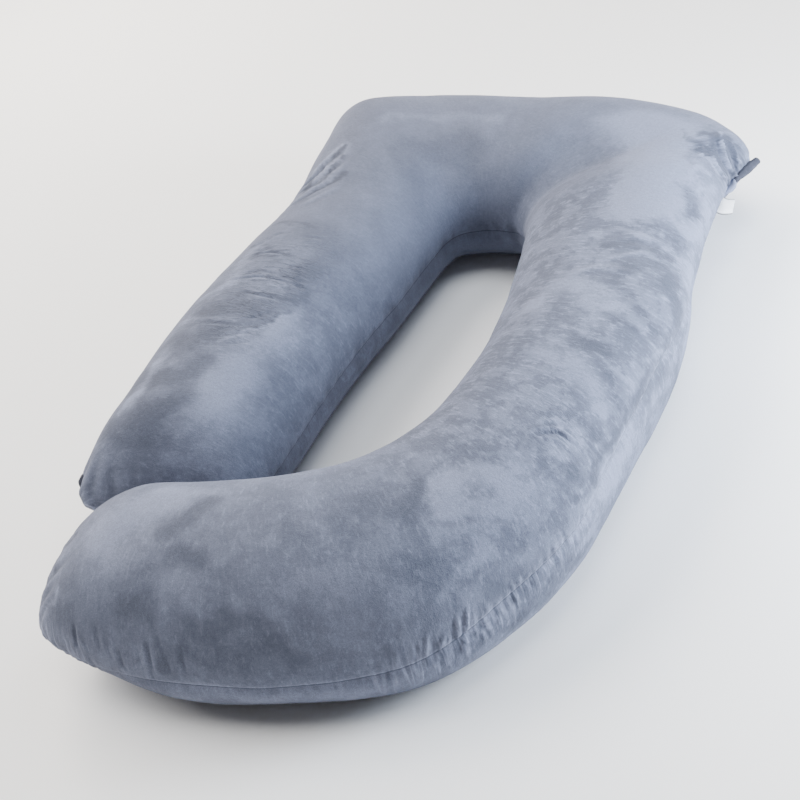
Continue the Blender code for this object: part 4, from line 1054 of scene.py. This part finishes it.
class Nodes:
    """Short words for the nodes that the materials are made of."""

    def __init__(self, name):
        self.material = bpy.data.materials.new(name)
        self.material.use_nodes = True
        self.tree = self.material.node_tree
        self.shader = self.tree.nodes["Principled BSDF"]

    def fill(self, node, inputs):
        for socket, value in zip(node.inputs, inputs):
            if isinstance(value, bpy.types.NodeSocket):
                self.tree.links.new(value, socket)
            else:
                socket.default_value = value
        return node

    def settings(self, values):
        """Sets numbers and colours on the shader's own sockets."""
        for name, value in values.items():
            self.shader.inputs[name].default_value = value

    def math(self, operation, *inputs):
        node = self.tree.nodes.new("ShaderNodeMath")
        node.operation = operation
        return self.fill(node, inputs).outputs[0]

    def add(self, *terms):
        total = terms[0]
        for term in terms[1:]:
            total = self.math("ADD", total, term)
        return total

    def scaled(self, value, factor):
        return self.math("MULTIPLY", value, factor)

    def value(self, name):
        node = self.tree.nodes.new("ShaderNodeAttribute")
        node.attribute_name = name
        return node.outputs["Fac"]

    def place(self, name):
        node = self.tree.nodes.new("ShaderNodeAttribute")
        node.attribute_name = name
        return node.outputs["Vector"]

    def stretched(self, place, factors):
        node = self.tree.nodes.new("ShaderNodeVectorMath")
        node.operation = "MULTIPLY"
        return self.fill(node, [place, factors]).outputs[0]

    def noise(self, place, scale, detail, roughness):
        """Smooth noise between about -0.5 and 0.5."""
        node = self.tree.nodes.new("ShaderNodeTexNoise")
        node.inputs["Scale"].default_value = scale
        node.inputs["Detail"].default_value = detail
        node.inputs["Roughness"].default_value = roughness
        self.tree.links.new(place, node.inputs["Vector"])
        return self.math("SUBTRACT", node.outputs["Fac"], 0.5)

    def streaks(self, place, along, around, detail, roughness):
        """Such noise drawn out: its scales along the tube and round it."""
        return self.noise(self.stretched(place, (along, around, 1.0)), 1.0, detail, roughness)

    def line(self, noise, width):
        """1 along the lines where the noise is 0, and 0 from width away."""
        return self.ramp(self.math("ABSOLUTE", noise), 0.0, width, 1.0, 0.0)

    def wave(self, place, axis, scale):
        """Even bands across an axis, between 0 and 1."""
        node = self.tree.nodes.new("ShaderNodeTexWave")
        node.bands_direction = axis
        node.inputs["Scale"].default_value = scale
        self.tree.links.new(place, node.inputs["Vector"])
        return node.outputs["Fac"]

    def ramp(self, value, low, high, start=0.0, stop=1.0):
        """start where value is low and stop where it is high, smooth in between."""
        node = self.tree.nodes.new("ShaderNodeMapRange")
        node.interpolation_type = "SMOOTHSTEP"
        return self.fill(node, [value, low, high, start, stop]).outputs[0]

    def tinted(self, colour, doublings):
        """The colour, made lighter or darker by a number of doublings."""
        node = self.tree.nodes.new("ShaderNodeVectorMath")
        node.operation = "SCALE"
        node.inputs[0].default_value = colour
        self.tree.links.new(self.math("POWER", 2.0, doublings), node.inputs["Scale"])
        return node.outputs[0]

    def bump(self, height, depth, strength):
        node = self.tree.nodes.new("ShaderNodeBump")
        node.inputs["Distance"].default_value = depth
        node.inputs["Strength"].default_value = strength
        self.tree.links.new(height, node.inputs["Height"])
        return node.outputs["Normal"]


def velvet(name, pile):
    """Short-pile velvet: marks with uneven edges, of brushed pile, painted shade and painted highlights,
    crisp gathers with painted highlights on their crests, painted shade along the stitching and in hair
    creases, a painted highlight on the stitching's upper lip, pile grain and a soft sheen.
    """
    kit = Nodes(name)
    object_place = kit.tree.nodes.new("ShaderNodeTexCoord").outputs["Object"]
    brush = kit.place("brush")
    clouds = kit.noise(object_place, *CLOUDS)
    patches = kit.noise(object_place, *PATCHES)
    pebbles = kit.noise(object_place, *PEBBLES)
    grain = kit.noise(object_place, *GRAIN)
    streaks = kit.streaks(brush, *STREAKS)
    fine_streaks = kit.streaks(brush, *FINE_STREAKS)
    threads = kit.streaks(brush, *THREADS)
    hairs = kit.line(kit.streaks(brush, *HAIR_CREASES), HAIR_WIDTH)
    crease = kit.math("MULTIPLY", kit.value("creased"), hairs)
    ruffles = kit.add(
        kit.scaled(kit.ramp(patches, -PATCH_EDGE, PATCH_EDGE, -0.5, 0.5), RUFFLED_EDGE_TONE),
        kit.scaled(patches, RUFFLED_PATCH_TONE),
        kit.scaled(streaks, STREAK_TONE),
        kit.ramp(threads, *THREAD_EDGES, 0.0, THREAD_TONE),
    )
    marks = kit.add(
        kit.value("nap_and_painted_light"),
        kit.scaled(clouds, CLOUD_TONE),
        kit.scaled(patches, PATCH_TONE),
        kit.math("MULTIPLY", kit.value("ruffled"), ruffles),
    )
    gather = kit.value("gather")
    gathers = kit.streaks(kit.place("by_seam"), *GATHER_LINES)
    # Lighter crest lines: painted highlights on the small gathers' ridges, which the bump also raises
    crest = kit.line(gathers, CREST_WIDTH)
    gathers_tone = kit.add(kit.scaled(crest, CREST_HIGHLIGHT_TONE), kit.scaled(gathers, GATHER_TONE))
    above = kit.value("above_seam")
    tone = kit.add(
        kit.ramp(marks, -MARK_LIMIT, MARK_LIMIT, -MARK_TONE, MARK_TONE),
        kit.math("MULTIPLY", gather, gathers_tone),
        kit.scaled(fine_streaks, FINE_STREAK_TONE),
        kit.scaled(pebbles, PEBBLE_TONE),
        kit.math("MULTIPLY", grain, kit.value("grainy")),
        # Painted shade along the stitching, and a painted highlight on its upper lip
        kit.ramp(kit.value("from_seam"), *STITCH_EDGES, STITCH_SHADE_TONE, 0.0),
        kit.math("MULTIPLY", kit.ramp(above, *LIP_START), kit.ramp(above, *LIP_STOP, LIP_HIGHLIGHT_TONE, 0.0)),
        # Painted shade in the hair-thin creases
        kit.scaled(crease, CREASE_SHADE_TONE),
    )
    kit.tree.links.new(kit.tinted(pile, tone), kit.shader.inputs["Base Color"])
    height = kit.add(
        kit.scaled(grain, GRAIN_RELIEF),
        kit.scaled(pebbles, PEBBLE_RELIEF),
        kit.scaled(fine_streaks, FINE_STREAK_RELIEF),
        kit.math("MULTIPLY", gather, kit.scaled(crest, CREST_RELIEF)),
        kit.scaled(crease, CREASE_RELIEF),
    )
    kit.tree.links.new(kit.bump(height, PILE_DEPTH, PILE_STRENGTH), kit.shader.inputs["Normal"])
    kit.settings(VELVET_SHADER)
    return kit.material


def in_scene(name, data):
    """A new object in the scene, of a mesh, a light or the camera."""
    thing = bpy.data.objects.new(name, data)
    bpy.context.scene.collection.objects.link(thing)
    return thing


def build_pillow(material):
    mesh = cover_mesh(build_cover())
    mesh.materials.append(material)
    piece = in_scene("velvet_cover", mesh)
    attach(piece, "root")
    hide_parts("pillow")


def roll_grid(roll):
    """Rings of points along a flattened, slightly wrinkled roll that narrows to both ends."""
    knots = np.linspace(0, 1, len(roll.path))
    share = np.linspace(0, 1, ROLL_RINGS)
    middles = smooth_rows(np.array(roll.path), knots, share)
    along = np.gradient(middles, axis=0)
    along /= np.linalg.norm(along, axis=1, keepdims=True)
    level = np.cross(along, (0.0, 0.0, 1.0))
    level /= np.linalg.norm(level, axis=1, keepdims=True)
    up = np.cross(level, along)
    tilt = math.radians(roll.tilt)
    wide = math.cos(tilt) * level + math.sin(tilt) * up
    high = math.cos(tilt) * up - math.sin(tilt) * level
    size = roll.start_share + (1 - roll.start_share) * smooth_step(share, 0, 3 * ROLL_TAPER)
    size *= roll.stop_share + (1 - roll.stop_share) * smooth_step(1 - share, 0, 3 * ROLL_TAPER)
    size *= rounded_cap(np.minimum(share, 1 - share), ROLL_TAPER / 2)
    angle = np.linspace(0, 2 * math.pi, ROLL_SIDES, endpoint=False)
    across = roll.half_width * size[:, None] * np.cos(angle)
    lift = roll.half_height * size[:, None] * np.sin(angle)
    grid = middles[:, None] + wide[:, None] * across[..., None] + high[:, None] * lift[..., None]
    wrinkle = ROLL_WRINKLE * smooth_noise(grid, ROLL_WRINKLE_SIZE, ROLL_SEED) * size[:, None]
    outward = grid - middles[:, None]
    outward /= np.linalg.norm(outward, axis=2, keepdims=True) + 1e-9
    return grid + outward * wrinkle[..., None]


def closed_tube(name, grid):
    """A mesh of rings that close on themselves, with a face at each end."""
    rings, sides = grid.shape[:2]
    index = np.arange(rings * sides).reshape(rings, sides)
    following = np.roll(index, -1, axis=1)
    faces = np.stack([index[:-1], following[:-1], following[1:], index[1:]], axis=-1).reshape(-1, 4).tolist()
    faces += [index[0, ::-1].tolist(), index[-1].tolist()]
    return smooth_mesh(name, grid, faces)


def build_ear_roll(roll, material):
    """One roll of the cover's closed corner, in the velvet, or in its darker copy of painted shade where the
    roll is dark.
    """
    grid = roll_grid(roll)
    mesh = closed_tube(roll.name, grid)
    # Painted shade along a dark roll's groove beside the cover, painted light over the lobe
    groove = np.exp(-(((np.arange(ROLL_SIDES) - GROOVE_SIDE) / GROOVE_WIDTH) ** 2))
    tone = -GROOVE_SHADE_TONE * groove if roll.dark else np.full(ROLL_SIDES, LOBE_LIGHT_TONE)
    add_value(mesh, "nap_and_painted_light", np.tile(tone, ROLL_RINGS))
    for name, value in ROLL_PILE.items():
        add_value(mesh, name, np.full(ROLL_RINGS * ROLL_SIDES, value))
    for name in ("by_seam", "brush"):
        add_place(mesh, name, grid)
    mesh.materials.append(material)
    piece = in_scene(roll.name, mesh)
    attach(piece, "root")
    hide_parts("pillow")


def label_surface():
    """Rows of points from the label's root to its free edge, its upper end curled up."""
    down = np.linspace(0, 1, LABEL_COLUMNS)[None, :, None]
    out = np.linspace(0, 1, LABEL_ROWS)[:, None, None]
    root = (1 - down) * LABEL_ROOT[0] + down * np.array(LABEL_ROOT[1])
    edge = (1 - down) * LABEL_EDGE[0] + down * np.array(LABEL_EDGE[1])
    grid = (1 - out) * root + out * edge
    grid[..., 1] -= (LABEL_BOW * np.sin(math.pi * out**0.8))[..., 0]
    curl = LABEL_CURL_UP * smooth_step(LABEL_CURL_SHARE - down, 0, LABEL_CURL_SHARE) * out**1.5
    droop = LABEL_CURL_DOWN * smooth_step(down - 1 + LABEL_DROOP_SHARE, 0, LABEL_DROOP_SHARE) * out
    bulge = LABEL_BULGE * np.sin(math.pi * down) * np.sin(math.pi * out)
    grid[..., 2] += (curl - droop + bulge)[..., 0]
    return grid


def label_mesh():
    """The label as one thin closed sheet: its upper face, its under face and its rim."""
    grid = label_surface()
    normal = np.cross(np.gradient(grid, axis=1), np.gradient(grid, axis=0))
    normal /= np.linalg.norm(normal, axis=2, keepdims=True)
    normal *= np.sign(normal[..., 2:])
    faces = []
    rows, columns = grid.shape[:2]
    for side in (0, rows * columns):
        for row, column in itertools.product(range(rows - 1), range(columns - 1)):
            first = side + row * columns + column
            corners = [first, first + 1, first + columns + 1, first + columns]
            faces.append(corners if side else corners[::-1])
    rim = [*range(columns), *range(2 * columns - 1, rows * columns, columns)]
    rim += range(rows * columns - 2, (rows - 1) * columns - 1, -1)
    rim += range((rows - 2) * columns, 0, -columns)
    for start, stop in zip(rim, rim[1:] + rim[:1]):
        faces.append([start, stop, stop + rows * columns, start + rows * columns])
    half = LABEL_THICKNESS / 2
    points = np.concatenate([grid + normal * half, grid - normal * half])
    mesh = smooth_mesh("label_tape", points, faces)
    # Painted shade along the upper and lower edges
    place = np.minimum(np.arange(columns), np.arange(columns)[::-1]) / LABEL_EDGE_SHADE
    add_value(mesh, "edge_shade", np.tile(np.exp(-(place**2)), 2 * rows))
    return mesh


def satin_tape():
    """White woven satin: fine threads both ways, a little unevenness, a low gloss and painted shade along its
    upper and lower edges.
    """
    kit = Nodes("satin_tape")
    place = kit.tree.nodes.new("ShaderNodeTexCoord").outputs["Object"]
    threads = kit.math("MULTIPLY", kit.wave(place, "X", TAPE_THREADS), kit.wave(place, "Y", TAPE_THREADS))
    soft = kit.noise(place, *TAPE_UNEVENNESS)
    # Painted shade along the upper and lower edges
    edge_shade = kit.scaled(kit.value("edge_shade"), EDGE_SHADE_TONE)
    tone = kit.add(kit.scaled(threads, TAPE_THREAD_TONE), kit.scaled(soft, TAPE_SOFT_TONE), edge_shade)
    kit.tree.links.new(kit.tinted(TAPE, tone), kit.shader.inputs["Base Color"])
    height = kit.add(kit.scaled(threads, TAPE_THREAD_RELIEF), soft)
    kit.tree.links.new(kit.bump(height, TAPE_DEPTH, TAPE_STRENGTH), kit.shader.inputs["Normal"])
    kit.settings(TAPE_SHADER)
    return kit.material


def build_label():
    mesh = label_mesh()
    mesh.materials.append(satin_tape())
    piece = in_scene("label_tape", mesh)
    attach(piece, "root")
    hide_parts("care_label")


def build_floor():
    half = FLOOR_SIZE / 2
    mesh = bpy.data.meshes.new("floor")
    corners = [(-half, -half, 0), (half, -half, 0), (half, half, 0), (-half, half, 0)]
    mesh.from_pydata(corners, [], [(0, 1, 2, 3)])
    kit = Nodes("pale_floor")
    kit.settings({"Base Color": (*FLOOR_COLOUR, 1.0), "Roughness": FLOOR_ROUGHNESS})
    mesh.materials.append(kit.material)
    floor = in_scene("floor", mesh)


def build_camera():
    right, up = Vector(CAMERA_RIGHT), Vector(CAMERA_UP)
    back = right.cross(up)
    data = bpy.data.cameras.new("camera")
    data.lens = LENS
    data.sensor_width = SENSOR
    camera = in_scene("camera", data)
    turn = Matrix((right, up, back)).transposed().to_4x4()
    camera.matrix_world = Matrix.Translation(Vector(CAMERA_PLACE)) @ turn
    bpy.context.scene.camera = camera


def place_light(data, name, direction):
    """Puts a light in the scene, shining along direction."""
    light = in_scene(name, data)
    light.rotation_euler = Vector(direction).to_track_quat("-Z", "Y").to_euler()
    return light


def area_light(name, place, target, size, power, colour):
    """A round soft box at place that faces target."""
    data = bpy.data.lights.new(name, "AREA")
    data.shape = "DISK"
    data.size = size
    data.energy = power
    data.color = colour
    place_light(data, name, Vector(target) - Vector(place)).location = place


def far_light(name, azimuth, elevation, strength, colour):
    """A wide soft light from far away, from a compass direction and a height in degrees."""
    data = bpy.data.lights.new(name, "SUN")
    data.energy = strength
    data.color = colour
    data.angle = math.radians(FAR_LIGHT_SPREAD)
    turn, rise = math.radians(azimuth), math.radians(elevation)
    source = Vector((math.cos(turn) * math.cos(rise), math.sin(turn) * math.cos(rise), math.sin(rise)))
    place_light(data, name, -source)


def build_light():
    world = bpy.data.worlds.new("studio")
    world.use_nodes = True
    background = world.node_tree.nodes["Background"]
    background.inputs["Color"].default_value = (*WORLD_COLOUR, 1.0)
    background.inputs["Strength"].default_value = WORLD_STRENGTH
    bpy.context.scene.world = world
    for light in SOFT_BOXES:
        area_light(*light)
    for light in FAR_LIGHTS:
        far_light(*light)


def main():
    pile, shaded_pile = velvet("velvet", PILE), velvet("shaded_velvet", SHADED_EAR_PILE)
    build_pillow(pile)
    for roll in EAR_ROLLS:
        build_ear_roll(roll, shaded_pile if roll.dark else pile)
    build_label()
    build_floor()
    build_camera()
    build_light()


main()
